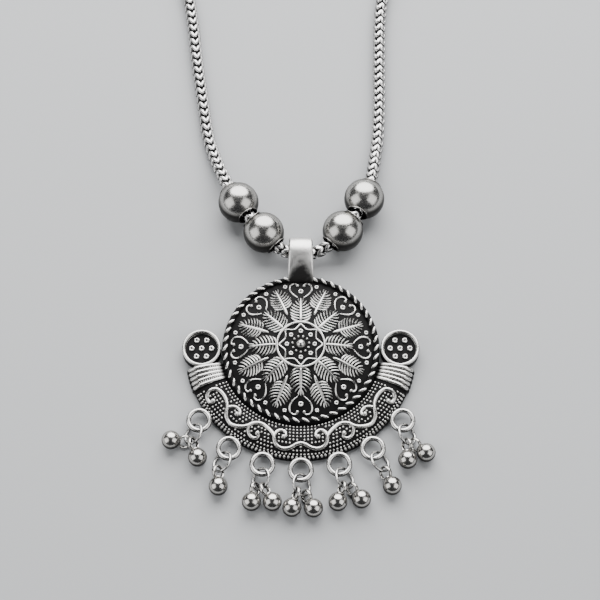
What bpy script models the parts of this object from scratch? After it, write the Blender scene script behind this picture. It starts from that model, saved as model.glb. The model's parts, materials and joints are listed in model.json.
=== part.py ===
"""Statement necklace of oxidised silver, lying open on a flat surface.

A domed round pendant and the crescent below it are one casting with its bail. It hangs
on a woven chain between four hollow beads, and twelve small balls hang on seven link
rings from the loops along the crescent's rim. The chain closes in a barrel clasp.
Metres, +Z up. The neck is towards +Y and the drops are towards -Y. Everything is
modelled round the centre of the round pendant and then moved by one parent empty, so
that the origin is under the middle of the whole piece.
"""
from math import acos, cos, degrees, hypot, pi, radians, sin, sqrt

import bmesh
import bpy
from mathutils import Matrix, Vector

# Round pendant: a domed disc with a flat ring at the edge of its open back
DISC_RADIUS = 0.0184
DISC_SIDES = 48
DISC_WALL = 0.0014
BACK_RING_WIDTH = 0.0029
BORDER_WIDTH = 0.0015
GROOVE_RADIUS = DISC_RADIUS - BORDER_WIDTH
GROOVE_HEIGHT = 0.0024
DOME_RISE = 0.0031
EDGE_ROUNDING = 0.0004

# Rope border of oblique strands round the dome
ROPE_INSET = 0.0008
ROPE_RADIUS = DISC_RADIUS - ROPE_INSET
ROPE_DIAMETER = 0.0014
ROPE_HEIGHT = 0.0026
ROPE_STRANDS = 50
ROPE_GROOVE = 0.25

# Flower in relief on the dome
ROSETTE_RADIUS = 0.0055
ROSETTE_WIRE = 0.0010
PETAL_COUNT = 8
PETAL_RADIUS = 0.0034
PETAL_WAVE = 0.0008
PETAL_RELIEF = 0.0004
CENTRE_BALL_RADIUS = 0.0009
INNER_LEAF_GAP = 0.0003
INNER_LEAF_START = ROSETTE_RADIUS + INNER_LEAF_GAP
INNER_LEAF_LENGTH = 0.0058
INNER_LEAF_WIDTH = 0.0050
INNER_LEAF_RELIEF = 0.0007
OUTER_LEAF_LENGTH = 0.0066
OUTER_LEAF_MARGIN = 0.0015
OUTER_LEAF_START = GROOVE_RADIUS - OUTER_LEAF_MARGIN - OUTER_LEAF_LENGTH
OUTER_LEAF_WIDTH = 0.0049
OUTER_LEAF_RELIEF = 0.0005
HEART_LENGTH = 0.0040
HEART_MARGIN = 0.0006
HEART_START = GROOVE_RADIUS - HEART_MARGIN - HEART_LENGTH
HEART_WIDTH = 0.0052
HEART_RELIEF = 0.0004

# Half widths along a leaf and a heart, from the inner end outwards, as shares of the most
LEAF_SHARES = (0.06, 0.72, 1.0, 0.78, 0.08)
HEART_SHARES = (0.1, 0.62, 1.0, 0.96, 0.45)

# Crescent band, its collars and the round ends
BAND_OFFSET = 0.0002
BAND_INNER_RADIUS = DISC_RADIUS + BAND_OFFSET
BAND_WIDTH = 0.0081
BAND_HALF_ANGLE = 68.0
BAND_SEGMENTS = 34
BAND_CREST_SHARE = 0.48
BAND_CREST_HEIGHT = 0.0029
BAND_INNER_HEIGHT = 0.0020
BAND_OUTER_HEIGHT = 0.0014
BAND_BACK_HEIGHT = 0.0003
BAND_OVERLAP = 0.0005
COLLAR_BACK_HEIGHT = 0.00015
COLLAR_COILS = 5
COLLAR_OVERLAP_ANGLE = 1.0
COLLAR_SEAT = 0.00042
COLLAR_HEIGHT = 0.0034
COLLAR_COIL_RELIEF = 0.0003
END_DISC_RADIUS = 0.00455
END_DISC_OFFSET = 0.0045
END_DISC_DISTANCE = BAND_INNER_RADIUS + END_DISC_OFFSET
END_DISC_SIDES = 20
END_DISC_FLOOR = 0.0023
END_DISC_RIM_HEIGHT = 0.0033
END_DISC_RIM_WIDTH = 0.0008
GRANULE_RADIUS = 0.0008
GRANULE_CIRCLE_RADIUS = 0.0023
GRANULE_LIFT = 0.00015
GRANULES_ROUND = 6

# Scroll of raised wire on the crescent. Columns: angle from straight down in degrees,
# share of the band's width from its inner edge. The right half mirrors the left.
SCROLL_WIRE = 0.0011
SCROLL_SIDES = 5
SCROLL_STEP = 0.0014
SCROLL_LINE = [
    (57.0, 0.64), (58.6, 0.76), (61.6, 0.71), (63.3, 0.55), (61.6, 0.38), (56.3, 0.31),
    (51.0, 0.38), (47.7, 0.54), (44.4, 0.68), (40.8, 0.72), (36.2, 0.62), (32.4, 0.46),
    (29.4, 0.28), (25.2, 0.22), (20.4, 0.29), (16.4, 0.42), (14.9, 0.59), (12.0, 0.70),
    (8.5, 0.73), (4.4, 0.64), (0.0, 0.52)]
SCROLL_BRANCHES = [
    [(49.0, 0.44), (47.4, 0.32), (44.4, 0.25), (41.4, 0.28), (41.3, 0.36), (42.6, 0.38)],
    [(32.3, 0.46), (31.0, 0.58), (27.8, 0.69), (24.8, 0.66), (24.5, 0.57), (25.8, 0.53)],
    [(15.8, 0.42), (14.9, 0.29), (12.0, 0.22), (9.4, 0.29), (9.5, 0.38), (10.8, 0.40)]]

# Bail: a flat loop at the top of the disc, its hole running along X
BAIL_ROOT = 0.0016
BAIL_LENGTH = 0.0107
BAIL_START = DISC_RADIUS - BAIL_ROOT
BAIL_END = BAIL_START + BAIL_LENGTH
BAIL_WIDTH = 0.0058
BAIL_TOP = 0.0068
BAIL_BACK_HEIGHT = 0.0002
BAIL_HOLE_LENGTH = 0.0046
BAIL_HOLE_HEIGHT = 0.0040
BAIL_END_WALL = 0.0015
BAIL_TOP_WALL = 0.0015
BAIL_HOLE_SIDES = 16

# Loops cast on the crescent's rim, and the link ring in each
LOOP_RADIUS = 0.00245
LOOP_WIRE = 0.0010
LOOP_SEAT = 0.00015
LOOP_CENTRE_RADIUS = BAND_INNER_RADIUS + BAND_WIDTH + LOOP_RADIUS - LOOP_SEAT
LOOP_HEIGHT = 0.00185
LINK_RADIUS = 0.00245
LINK_WIRE = 0.00056
LINK_LEAN = 42.0
LINK_SLACK = 0.0014
LINK_REACH = LOOP_RADIUS + LINK_RADIUS - LINK_SLACK
LINK_FLOOR_GAP = 0.00003
RING_SEGMENTS = 12
EYE_SEGMENTS = 10
LOOP_SIDES = 5
LINK_SIDES = 5

# Drops: a ball with the wire eye that it hangs by
DROP_DIAMETER = 0.0043
EYE_RADIUS = 0.00145
EYE_WIRE = 0.0005
EYE_SUNK = 0.0001
EYE_FLOOR_GAP = 0.00005

# Each cluster of drops. Columns: angle of its loop from straight down in degrees,
# positive to the right; swing of its link from the radius in degrees; which side of the
# link is up, 1 right and -1 left; and for each drop, where it sits on the link and which
# way it points in degrees from the link's own direction, and its slack as a share of
# the eye's radius.
CLUSTERS = [
    (-53.5, 34, 1, [(-30, -74, 0.28), (25, 38, 0.14)]),
    (-34.4, 10, 1, [(5, 26, 0.14)]),
    (-17.5, 12, 1, [(-35, -8, 0.20), (30, 38, 0.34)]),
    (0.0, 3, -1, [(-40, -22, 0.28), (25, 26, 0.34)]),
    (17.5, 2, -1, [(-40, -38, 0.28), (20, 20, 0.40)]),
    (34.4, -8, -1, [(-5, 0, 0.40)]),
    (53.5, -38, -1, [(-25, -14, 0.34), (25, 34, 0.44)])]

# Hollow beads on the chain, two each side of the bail
BEAD_DIAMETER = 0.0097
BEAD_WALL = 0.0006
BEAD_BORE = 0.0046
BEAD_GAP = 0.0004
BEAD_SIDES = 12
BEAD_OUTER_STEPS = 7
BEAD_INNER_STEPS = 3
BAIL_TO_LEFT_BEAD = 0.0107
BAIL_TO_RIGHT_BEAD = 0.0120

# Chain and clasp
CHAIN_DIAMETER = 0.0031
CHAIN_FLOOR_GAP = 0.00005
CHAIN_FINE_STEP = 1.0
CHAIN_STEP = 3.0
CLASP_DIAMETER = 0.0048
CLASP_LENGTH = 0.0160
CLASP_SOCKET_DEPTH = 0.0030
CLASP_CLEARANCE = 0.0004
CLASP_END_ROUNDING = 0.0006
CLASP_SIDES = 12

# The chain's route from the bail to the clasp on each side, chosen by hand. Columns:
# x and y from the pendant's centre, and how far the chain is lifted off the surface, as
# a share of the lift that it has inside the beads.
BAIL_ON_ROUTE = (0.0, 0.0234, 0.48)
LEFT_ROUTE = [
    (-0.0047, 0.0249, 0.58), (-0.0092, 0.0289, 1.06), (-0.0155, 0.0372, 1.00),
    (-0.0191, 0.0447, 0.50), (-0.0209, 0.0495, 0.18), (-0.0227, 0.0552, 0.0),
    (-0.0245, 0.0664, 0.0), (-0.0262, 0.0779, 0.0), (-0.0284, 0.0941, 0.0),
    (-0.0330, 0.1130, 0.0), (-0.0430, 0.1360, 0.0), (-0.0550, 0.1580, 0.0),
    (-0.0640, 0.1800, 0.0), (-0.0660, 0.2030, 0.0), (-0.0580, 0.2250, 0.0),
    (-0.0400, 0.2400, 0.0)]
RIGHT_ROUTE = [
    (0.0049, 0.0247, 0.58), (0.0105, 0.0293, 1.06), (0.0158, 0.0384, 1.00),
    (0.0177, 0.0463, 0.50), (0.0183, 0.0504, 0.18), (0.0190, 0.0552, 0.0),
    (0.0196, 0.0664, 0.0), (0.0198, 0.0779, 0.0), (0.0207, 0.0941, 0.0),
    (0.0250, 0.1130, 0.0), (0.0360, 0.1360, 0.0), (0.0500, 0.1580, 0.0),
    (0.0610, 0.1800, 0.0), (0.0650, 0.2030, 0.0), (0.0580, 0.2250, 0.0),
    (0.0400, 0.2400, 0.0)]
CLASP_PLACE = (0.0, 0.2475)
CLASP_APPROACH = 0.0050

# Modelling tolerances
CURVE_STEPS = 24
MERGE_DISTANCE = 1e-6
SHARP_ANGLE = radians(38)

# Places that follow from the sizes
BEAD_RADIUS = BEAD_DIAMETER / 2
CHAIN_RADIUS = CHAIN_DIAMETER / 2
CHAIN_FLOOR_HEIGHT = CHAIN_RADIUS + CHAIN_FLOOR_GAP
DROP_RADIUS = DROP_DIAMETER / 2
EYE_DISTANCE = DROP_RADIUS + EYE_RADIUS - EYE_WIRE / 2 - EYE_SUNK
COLLAR_START = BAND_HALF_ANGLE - COLLAR_OVERLAP_ANGLE
COLLAR_END = degrees(acos((END_DISC_RADIUS - COLLAR_SEAT)
                          / (BAND_INNER_RADIUS + BAND_WIDTH / 2)))
LINK_HEIGHT = LINK_RADIUS * sin(radians(LINK_LEAN)) + LINK_WIRE / 2 + LINK_FLOOR_GAP


def clear_scene():
    """Start from an empty scene."""
    for leftover in list(bpy.data.objects):
        bpy.data.objects.remove(leftover)


def silver(name, colour, roughness):
    """A plain metal material for one kind of piece."""
    material = bpy.data.materials.new(name)
    material.use_nodes = True
    shader = material.node_tree.nodes["Principled BSDF"]
    shader.inputs["Base Color"].default_value = (*colour, 1.0)
    shader.inputs["Metallic"].default_value = 1.0
    shader.inputs["Roughness"].default_value = roughness
    return material


def finish_mesh(bm, name):
    """Weld, turn the faces outwards and shade a bmesh as one closed mesh."""
    bmesh.ops.remove_doubles(bm, verts=bm.verts, dist=MERGE_DISTANCE)
    bmesh.ops.recalc_face_normals(bm, faces=bm.faces)
    mesh = bpy.data.meshes.new(name)
    bm.to_mesh(mesh)
    bm.free()
    shade(mesh)
    return mesh


def shade(mesh):
    """Smooth shading, with the edges that are sharp on the metal kept sharp."""
    mesh.shade_smooth()
    mesh.set_sharp_from_angle(angle=SHARP_ANGLE)


def add_object(name, mesh):
    piece = bpy.data.objects.new(name, mesh)
    bpy.context.collection.objects.link(piece)
    return piece


def combine(body, tool, operation):
    """Fuse a closed piece into another, or cut it away, and drop the tool."""
    modifier = body.modifiers.new("combine", "BOOLEAN")
    modifier.operation = operation
    modifier.solver = "EXACT"
    modifier.object = tool
    bpy.context.view_layer.update()
    depsgraph = bpy.context.evaluated_depsgraph_get()
    result = bpy.data.meshes.new_from_object(body.evaluated_get(depsgraph))
    body.modifiers.clear()
    body.data = result
    bpy.data.objects.remove(tool)


def weld(mesh):
    """Close up the slivers that fusing leaves in a mesh, and shade it again."""
    bm = bmesh.new()
    bm.from_mesh(mesh)
    bmesh.ops.remove_doubles(bm, verts=bm.verts, dist=MERGE_DISTANCE)
    bmesh.ops.dissolve_degenerate(bm, dist=MERGE_DISTANCE, edges=bm.edges)
    bm.to_mesh(mesh)
    bm.free()
    shade(mesh)


def lathe(bm, profile, sides, closed):
    """Turn a profile of (radius, height) points round Z in a bmesh."""
    points = [bm.verts.new((radius, 0, height)) for radius, height in profile]
    edges = [bm.edges.new(pair) for pair in zip(points, points[1:])]
    if closed:
        edges.append(bm.edges.new((points[-1], points[0])))
    bmesh.ops.spin(bm, geom=points + edges, cent=(0, 0, 0), axis=(0, 0, 1),
                   angle=2 * pi, steps=sides, use_merge=True)
    bmesh.ops.remove_doubles(bm, verts=bm.verts, dist=MERGE_DISTANCE)


def ring(bm, radius, wire, segments, sides, matrix):
    """A closed wire ring that lies in the XY plane before the matrix places it."""
    upright = Matrix.Translation((radius, 0, 0)) @ Matrix.Rotation(pi / 2, 4, "X")
    section = bmesh.ops.create_circle(bm, segments=sides, radius=wire / 2, matrix=upright)
    before = set(bm.verts) - set(section["verts"])
    edges = list({edge for vert in section["verts"] for edge in vert.link_edges})
    bmesh.ops.spin(bm, geom=section["verts"] + edges, cent=(0, 0, 0), axis=(0, 0, 1),
                   angle=2 * pi, steps=segments, use_merge=True)
    made = [vert for vert in bm.verts if vert not in before]
    bmesh.ops.transform(bm, matrix=matrix, verts=made)


def loft(bm, sections, closed=False):
    """Join sections of equal point counts into one body, capped unless it closes."""
    rows = [[bm.verts.new(point) for point in section] for section in sections]
    followers = rows[1:] + rows[:1] if closed else rows[1:]
    for row, after in zip(rows, followers):
        for k in range(len(row)):
            following = (k + 1) % len(row)
            bm.faces.new((row[k], row[following], after[following], after[k]))
    if not closed:
        bm.faces.new(rows[0][::-1])
        bm.faces.new(rows[-1])


def polar(radius, angle, height):
    """A point at a radius and an angle in degrees from straight down."""
    return Vector((radius * sin(radians(angle)), -radius * cos(radians(angle)), height))


def smooth_curve(points, spacing):
    """Read points at an even spacing from a smooth curve through the given ones."""
    points = [Vector(point) for point in points]
    tangents = []
    for k, point in enumerate(points):
        before = points[max(k - 1, 0)]
        after = points[min(k + 1, len(points) - 1)]
        reach = (point - before).length + (after - point).length
        tangents.append((after - before) / reach)
    fine = [points[0]]
    for start, end, leave, arrive in zip(points, points[1:], tangents, tangents[1:]):
        length = (end - start).length
        for step in range(1, CURVE_STEPS + 1):
            t = step / CURVE_STEPS
            fine.append(start * (2 * t**3 - 3 * t**2 + 1) + end * (3 * t**2 - 2 * t**3)
                        + leave * length * (t**3 - 2 * t**2 + t)
                        + arrive * length * (t**3 - t**2))
    lengths = [0.0]
    for start, end in zip(fine, fine[1:]):
        lengths.append(lengths[-1] + (end - start).length)
    count = max(2, round(lengths[-1] / spacing))
    return [point_along(fine, lengths, lengths[-1] * k / count) for k in range(count + 1)]


def point_along(line, lengths, distance):
    """The point at a distance along a line of points with known running lengths."""
    for k in range(1, len(line)):
        if lengths[k] >= distance or k == len(line) - 1:
            share = (distance - lengths[k - 1]) / (lengths[k] - lengths[k - 1])
            return line[k - 1].lerp(line[k], share)


def dome_height(radius):
    return GROOVE_HEIGHT + DOME_RISE * (1 - (radius / GROOVE_RADIUS) ** 2)


def band_height(share):
    """Height of the crescent's top across its width, highest at the crest."""
    if share < BAND_CREST_SHARE:
        edge = BAND_INNER_HEIGHT
        away = 1 - share / BAND_CREST_SHARE
    else:
        edge = BAND_OUTER_HEIGHT
        away = (share - BAND_CREST_SHARE) / (1 - BAND_CREST_SHARE)
    return BAND_CREST_HEIGHT + (edge - BAND_CREST_HEIGHT) * away**2


def band_point(angle, share, lift):
    radius = BAND_INNER_RADIUS + share * BAND_WIDTH
    return polar(radius, angle, band_height(share) + lift)


def make_disc():
    """The domed disc, hollow behind, with a flat ring to lie on."""
    ring_inner = DISC_RADIUS - BACK_RING_WIDTH
    hollow = [(ring_inner * share, dome_height(ring_inner * share) - DISC_WALL)
              for share in (0, 0.4, 0.7, 0.95)]
    edge = [(ring_inner, 0), (DISC_RADIUS - EDGE_ROUNDING, 0), (DISC_RADIUS, EDGE_ROUNDING),
            (DISC_RADIUS, GROOVE_HEIGHT - EDGE_ROUNDING)]
    dome = [(GROOVE_RADIUS * share, dome_height(GROOVE_RADIUS * share))
            for share in (1, 0.84, 0.64, 0.4, 0)]
    bm = bmesh.new()
    lathe(bm, hollow + edge + dome, DISC_SIDES, closed=False)
    return add_object("pendant", finish_mesh(bm, "pendant"))


def make_rope():
    """The rope border: slanting sections, every second one a groove."""
    section_angles = [radians(angle) for angle in (-90, -10, 50, 130, 190)]
    slant = -0.5 / len(section_angles)
    sections = []
    for k in range(2 * ROPE_STRANDS):
        wire = ROPE_DIAMETER / 2 * (1 - ROPE_GROOVE * (k % 2))
        section = []
        for j, around in enumerate(section_angles):
            turn = 360 * (k / 2 + slant * j) / ROPE_STRANDS
            section.append(polar(ROPE_RADIUS + wire * cos(around), turn,
                                 ROPE_HEIGHT + wire * sin(around)))
        sections.append(section)
    bm = bmesh.new()
    loft(bm, sections, closed=True)
    return add_object("rope", finish_mesh(bm, "rope"))


def make_rosette():
    """The ring, the eight-petalled boss and the ball at the middle of the dome."""
    ring_height = dome_height(ROSETTE_RADIUS)
    bm = bmesh.new()
    ring(bm, ROSETTE_RADIUS, ROSETTE_WIRE, 3 * PETAL_COUNT, 6,
         Matrix.Translation((0, 0, ring_height)))
    foot = dome_height(PETAL_RADIUS + PETAL_WAVE) - PETAL_RELIEF
    petals = []
    for height in (foot, dome_height(PETAL_RADIUS) + PETAL_RELIEF):
        outline = []
        for k in range(4 * PETAL_COUNT):
            radius = PETAL_RADIUS + PETAL_WAVE * cos(k * pi / 2)
            outline.append(polar(radius, 90 * k / PETAL_COUNT, height))
        petals.append(outline)
    loft(bm, petals)
    rosette = add_object("rosette", finish_mesh(bm, "rosette"))
    bm = bmesh.new()
    top = dome_height(0)
    bmesh.ops.create_uvsphere(bm, u_segments=8, v_segments=6, radius=CENTRE_BALL_RADIUS,
                              matrix=Matrix.Translation((0, 0, top)))
    combine(rosette, add_object("centre", finish_mesh(bm, "centre")), "UNION")
    return rosette


def raised_shape(bm, angle, start, length, width, relief, widths):
    """A raised leaf or heart along a radius of the dome, from its half widths."""
    centre_line = polar(1, angle, 0)
    across = centre_line.cross((0, 0, 1))
    sections = []
    for k, share in enumerate(widths):
        radius = start + length * k / (len(widths) - 1)
        half = width / 2 * share
        surface = dome_height(radius)
        section = []
        for side, height in ((-1, -relief), (-1, relief / 2), (0, relief), (1, relief / 2),
                             (1, -relief)):
            point = centre_line * radius + across * (side * half)
            point.z = surface + height
            section.append(point)
        sections.append(section)
    loft(bm, sections)


def make_leaves(name, first_angle, start, length, width, relief, widths):
    """Eight like shapes in relief, evenly round the dome."""
    bm = bmesh.new()
    for k in range(PETAL_COUNT):
        angle = first_angle + k * 360 / PETAL_COUNT
        raised_shape(bm, angle, start, length, width, relief, widths)
    return add_object(name, finish_mesh(bm, name))


def make_band():
    """The crescent's band, turned through part of a circle."""
    top = [(share, band_height(share)) for share in (0.1, 0.28, 0.48, 0.66, 0.84, 0.97)]
    overlap = -BAND_OVERLAP / BAND_WIDTH
    section = [(overlap, BAND_BACK_HEIGHT), (overlap, BAND_INNER_HEIGHT / 2)]
    section += top + [(1.0, BAND_OUTER_HEIGHT / 2), (0.95, BAND_BACK_HEIGHT)]
    sections = []
    for k in range(BAND_SEGMENTS + 1):
        angle = BAND_HALF_ANGLE * (2 * k / BAND_SEGMENTS - 1)
        sections.append([polar(BAND_INNER_RADIUS + share * BAND_WIDTH, angle, height)
                         for share, height in section])
    bm = bmesh.new()
    loft(bm, sections)
    return add_object("band", finish_mesh(bm, "band"))


def make_collar(side):
    """A wrap of coils across one end of the band."""
    across = [(-0.02, 0), (0.0, 0.45), (0.14, 0.85), (0.5, 1.0), (0.86, 0.85), (1.0, 0.45),
              (1.02, 0)]
    sections = []
    for k in range(2 * COLLAR_COILS + 1):
        step = (COLLAR_END - COLLAR_START) / (2 * COLLAR_COILS)
        angle = side * (COLLAR_START + step * k)
        swell = COLLAR_COIL_RELIEF * (k % 2)
        section = []
        for share, rise in across:
            radius = BAND_INNER_RADIUS + share * BAND_WIDTH + swell * (2 * share - 1)
            height = COLLAR_BACK_HEIGHT + (COLLAR_HEIGHT - COLLAR_BACK_HEIGHT + swell) * rise
            section.append(polar(radius, angle, height))
        sections.append(section)
    bm = bmesh.new()
    loft(bm, sections)
    return add_object("collar", finish_mesh(bm, "collar"))


def make_end_disc(side):
    """A round end with a raised rim."""
    rim_inner = END_DISC_RADIUS - END_DISC_RIM_WIDTH
    profile = [(0, 0), (END_DISC_RADIUS - EDGE_ROUNDING, 0), (END_DISC_RADIUS, EDGE_ROUNDING),
               (END_DISC_RADIUS, END_DISC_RIM_HEIGHT - EDGE_ROUNDING),
               (END_DISC_RADIUS - EDGE_ROUNDING, END_DISC_RIM_HEIGHT),
               (rim_inner, END_DISC_RIM_HEIGHT - EDGE_ROUNDING / 2),
               (rim_inner, END_DISC_FLOOR), (0, END_DISC_FLOOR)]
    bm = bmesh.new()
    lathe(bm, profile, END_DISC_SIDES, closed=False)
    move = Matrix.Translation((side * END_DISC_DISTANCE, 0, 0))
    bmesh.ops.transform(bm, matrix=move, verts=bm.verts)
    return add_object("end_disc", finish_mesh(bm, "end_disc"))


def make_granules():
    """Seven balls soldered to the floor of each round end."""
    bm = bmesh.new()
    for side in (-1, 1):
        places = [Vector((0, 0, 0))]
        places += [polar(GRANULE_CIRCLE_RADIUS, 90 + 360 * k / GRANULES_ROUND, 0)
                   for k in range(GRANULES_ROUND)]
        for place in places:
            place += Vector((side * END_DISC_DISTANCE, 0, END_DISC_FLOOR + GRANULE_LIFT))
            bmesh.ops.create_icosphere(bm, subdivisions=1, radius=GRANULE_RADIUS,
                                       matrix=Matrix.Translation(place))
    return add_object("granules", finish_mesh(bm, "granules"))


def make_scroll_wire(table, side):
    """A raised wire that follows a line of the scroll over the band."""
    line = [band_point(side * angle, share, 0) for angle, share in table]
    line = smooth_curve(line, SCROLL_STEP)
    sections = []
    for k, point in enumerate(line):
        along = line[min(k + 1, len(line) - 1)] - line[max(k - 1, 0)]
        across = along.cross((0, 0, 1)).normalized()
        section = []
        for j in range(SCROLL_SIDES):
            around = 2 * pi * (j + 0.25) / SCROLL_SIDES
            section.append(point + across * (SCROLL_WIRE / 2 * cos(around))
                           + Vector((0, 0, SCROLL_WIRE / 2 * sin(around))))
        sections.append(section)
    bm = bmesh.new()
    loft(bm, sections)
    return add_object("scroll", finish_mesh(bm, "scroll"))


def make_bail():
    """The loop at the top, an outline in Y and Z carried along X and then bored."""
    height = BAIL_TOP - BAIL_BACK_HEIGHT
    outline = [(0.0, 0.26), (0.20, 0.66), (0.45, 0.93), (0.70, 1.0), (0.90, 0.87),
               (1.0, 0.58), (0.96, 0.28), (0.80, 0.07), (0.35, 0.0), (0.05, 0.0)]
    sections = []
    for x_share, shrink in ((-1, 0.95), (-0.88, 1.0), (0.88, 1.0), (1, 0.95)):
        section = []
        for along, up in outline:
            y = BAIL_START + BAIL_LENGTH * (0.5 + (along - 0.5) * shrink)
            z = BAIL_BACK_HEIGHT + height * (0.5 + (up - 0.5) * shrink)
            section.append((x_share * BAIL_WIDTH / 2, y, z))
        sections.append(section)
    bm = bmesh.new()
    loft(bm, sections)
    bail = add_object("bail", finish_mesh(bm, "bail"))
    hole_y = BAIL_END - BAIL_END_WALL - BAIL_HOLE_LENGTH / 2
    hole_z = BAIL_TOP - BAIL_TOP_WALL - BAIL_HOLE_HEIGHT / 2
    sections = []
    for x_share in (-1, 1):
        section = []
        for k in range(BAIL_HOLE_SIDES):
            around = 2 * pi * k / BAIL_HOLE_SIDES
            section.append((x_share * BAIL_WIDTH,
                            hole_y + BAIL_HOLE_LENGTH / 2 * cos(around),
                            hole_z + BAIL_HOLE_HEIGHT / 2 * sin(around)))
        sections.append(section)
    bm = bmesh.new()
    loft(bm, sections)
    combine(bail, add_object("hole", finish_mesh(bm, "hole")), "DIFFERENCE")
    return bail


def make_rim_loops():
    """The seven loops that the link rings hang in, before they are fused to the rim."""
    bm = bmesh.new()
    for angle, *_ in CLUSTERS:
        place = polar(LOOP_CENTRE_RADIUS, angle, LOOP_HEIGHT)
        turn = Matrix.Rotation(radians(angle), 4, "Z")
        ring(bm, LOOP_RADIUS, LOOP_WIRE, RING_SEGMENTS, LOOP_SIDES,
             Matrix.Translation(place) @ turn)
    return add_object("loops", finish_mesh(bm, "loops"))


def make_pendant(material):
    """One casting: the disc, its relief, the crescent, the loops and the bail."""
    pendant = make_disc()
    parts = [make_rope(), make_rosette(), make_band(), make_bail(), make_rim_loops()]
    parts.append(make_leaves("outer_leaves", 180 / PETAL_COUNT, OUTER_LEAF_START,
                             OUTER_LEAF_LENGTH, OUTER_LEAF_WIDTH, OUTER_LEAF_RELIEF,
                             LEAF_SHARES))
    parts.append(make_leaves("inner_leaves", 0, INNER_LEAF_START, INNER_LEAF_LENGTH,
                             INNER_LEAF_WIDTH, INNER_LEAF_RELIEF, LEAF_SHARES))
    parts.append(make_leaves("hearts", 0, HEART_START, HEART_LENGTH, HEART_WIDTH,
                             HEART_RELIEF, HEART_SHARES))
    for side in (-1, 1):
        parts += [make_collar(side), make_end_disc(side)]
        parts += [make_scroll_wire(table, side) for table in [SCROLL_LINE, *SCROLL_BRANCHES]]
    parts.append(make_granules())
    for part in parts:
        combine(pendant, part, "UNION")
    weld(pendant.data)
    pendant.data.materials.clear()
    pendant.data.materials.append(material)
    return pendant


def chain_height(lift):
    return CHAIN_FLOOR_HEIGHT + lift * (BEAD_RADIUS - CHAIN_FLOOR_HEIGHT)


def chain_side(route, side):
    """One side of the chain, from the bail to the bottom of its clasp socket."""
    points = [(x, y, chain_height(lift)) for x, y, lift in [BAIL_ON_ROUTE, *route]]
    x, y = CLASP_PLACE
    mouth = x + side * (CLASP_LENGTH / 2)
    bottom = mouth - side * (CLASP_SOCKET_DEPTH - CLASP_CLEARANCE)
    approach = mouth + side * CLASP_APPROACH
    points += [(approach, y, CLASP_DIAMETER / 2), (bottom, y, CLASP_DIAMETER / 2)]
    fine = smooth_curve(points, CHAIN_RADIUS / 4)
    lengths = [0.0]
    for start, end in zip(fine, fine[1:]):
        lengths.append(lengths[-1] + (end - start).length)
    return fine, lengths


def make_chain(sides, first_beads, material):
    """The woven chain as one tube, finer where it bends through bail and beads."""
    halves = []
    for (fine, lengths), first in zip(sides, first_beads):
        beaded = first + 2 * (BEAD_DIAMETER + BEAD_GAP)
        fine_step = CHAIN_FINE_STEP * CHAIN_DIAMETER
        fine_count = round(beaded / fine_step)
        stations = [beaded * (k + 0.5) / fine_count for k in range(fine_count)]
        rest = lengths[-1] - stations[-1]
        count = round(rest / (CHAIN_STEP * CHAIN_DIAMETER))
        stations += [stations[-1] + rest * (k + 1) / count for k in range(count)]
        halves.append([point_along(fine, lengths, station) for station in stations])
    points = halves[0][::-1] + halves[1]
    curve = bpy.data.curves.new("chain", "CURVE")
    curve.dimensions = "3D"
    curve.bevel_depth = CHAIN_RADIUS
    curve.bevel_resolution = 2
    curve.use_fill_caps = True
    spline = curve.splines.new("POLY")
    spline.points.add(len(points) - 1)
    for target, point in zip(spline.points, points):
        target.co = (*point, 1.0)
    spline.use_smooth = True
    curve.materials.append(material)
    return add_object("chain", curve)


def bead_mesh(material):
    """A hollow ball, open at both ends of its bore, which runs along Z."""
    bore = BEAD_BORE / 2
    profile = []
    for radius, steps, way in ((BEAD_RADIUS, BEAD_OUTER_STEPS, 1),
                               (BEAD_RADIUS - BEAD_WALL, BEAD_INNER_STEPS, -1)):
        limit = acos(bore / radius)
        for k in range(steps + 1):
            latitude = way * limit * (2 * k / steps - 1)
            profile.append((radius * cos(latitude), radius * sin(latitude)))
    bm = bmesh.new()
    lathe(bm, profile, BEAD_SIDES, closed=True)
    mesh = finish_mesh(bm, "bead")
    mesh.materials.append(material)
    return mesh


def place_bead(name, mesh, side, distance):
    """Thread a bead on the chain at a distance from the bail, resting on the surface."""
    fine, lengths = side
    reach = 0.8 * BEAD_RADIUS
    before = point_along(fine, lengths, distance - reach)
    middle = point_along(fine, lengths, distance)
    after = point_along(fine, lengths, distance + reach)
    bead = add_object(name, mesh)
    bead.location = (before + 2 * middle + after) / 4
    bead.location.z = BEAD_RADIUS
    bead.rotation_euler = (after - before).to_track_quat("Z", "Y").to_euler()
    return bead


def link_mesh(material):
    bm = bmesh.new()
    ring(bm, LINK_RADIUS, LINK_WIRE, RING_SEGMENTS, LINK_SIDES, Matrix())
    mesh = finish_mesh(bm, "link")
    mesh.materials.append(material)
    return mesh


def drop_mesh(material):
    """A ball with its eye towards +X, the eye standing in the XZ plane."""
    bm = bmesh.new()
    bmesh.ops.create_uvsphere(bm, u_segments=12, v_segments=6, radius=DROP_RADIUS)
    drop = add_object("drop", finish_mesh(bm, "drop"))
    bm = bmesh.new()
    stand = Matrix.Rotation(pi / 2, 4, "X")
    ring(bm, EYE_RADIUS, EYE_WIRE, EYE_SEGMENTS, LINK_SIDES,
         Matrix.Translation((EYE_DISTANCE, 0, 0)) @ stand)
    combine(drop, add_object("eye", finish_mesh(bm, "eye")), "UNION")
    mesh = drop.data
    bpy.data.objects.remove(drop)
    weld(mesh)
    mesh.materials.clear()
    mesh.materials.append(material)
    return mesh


def frame_of(x_axis, y_axis, z_axis, origin):
    """A placing matrix from three axes and an origin."""
    rotation = Matrix((x_axis, y_axis, z_axis)).transposed().to_4x4()
    return Matrix.Translation(origin) @ rotation


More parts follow.
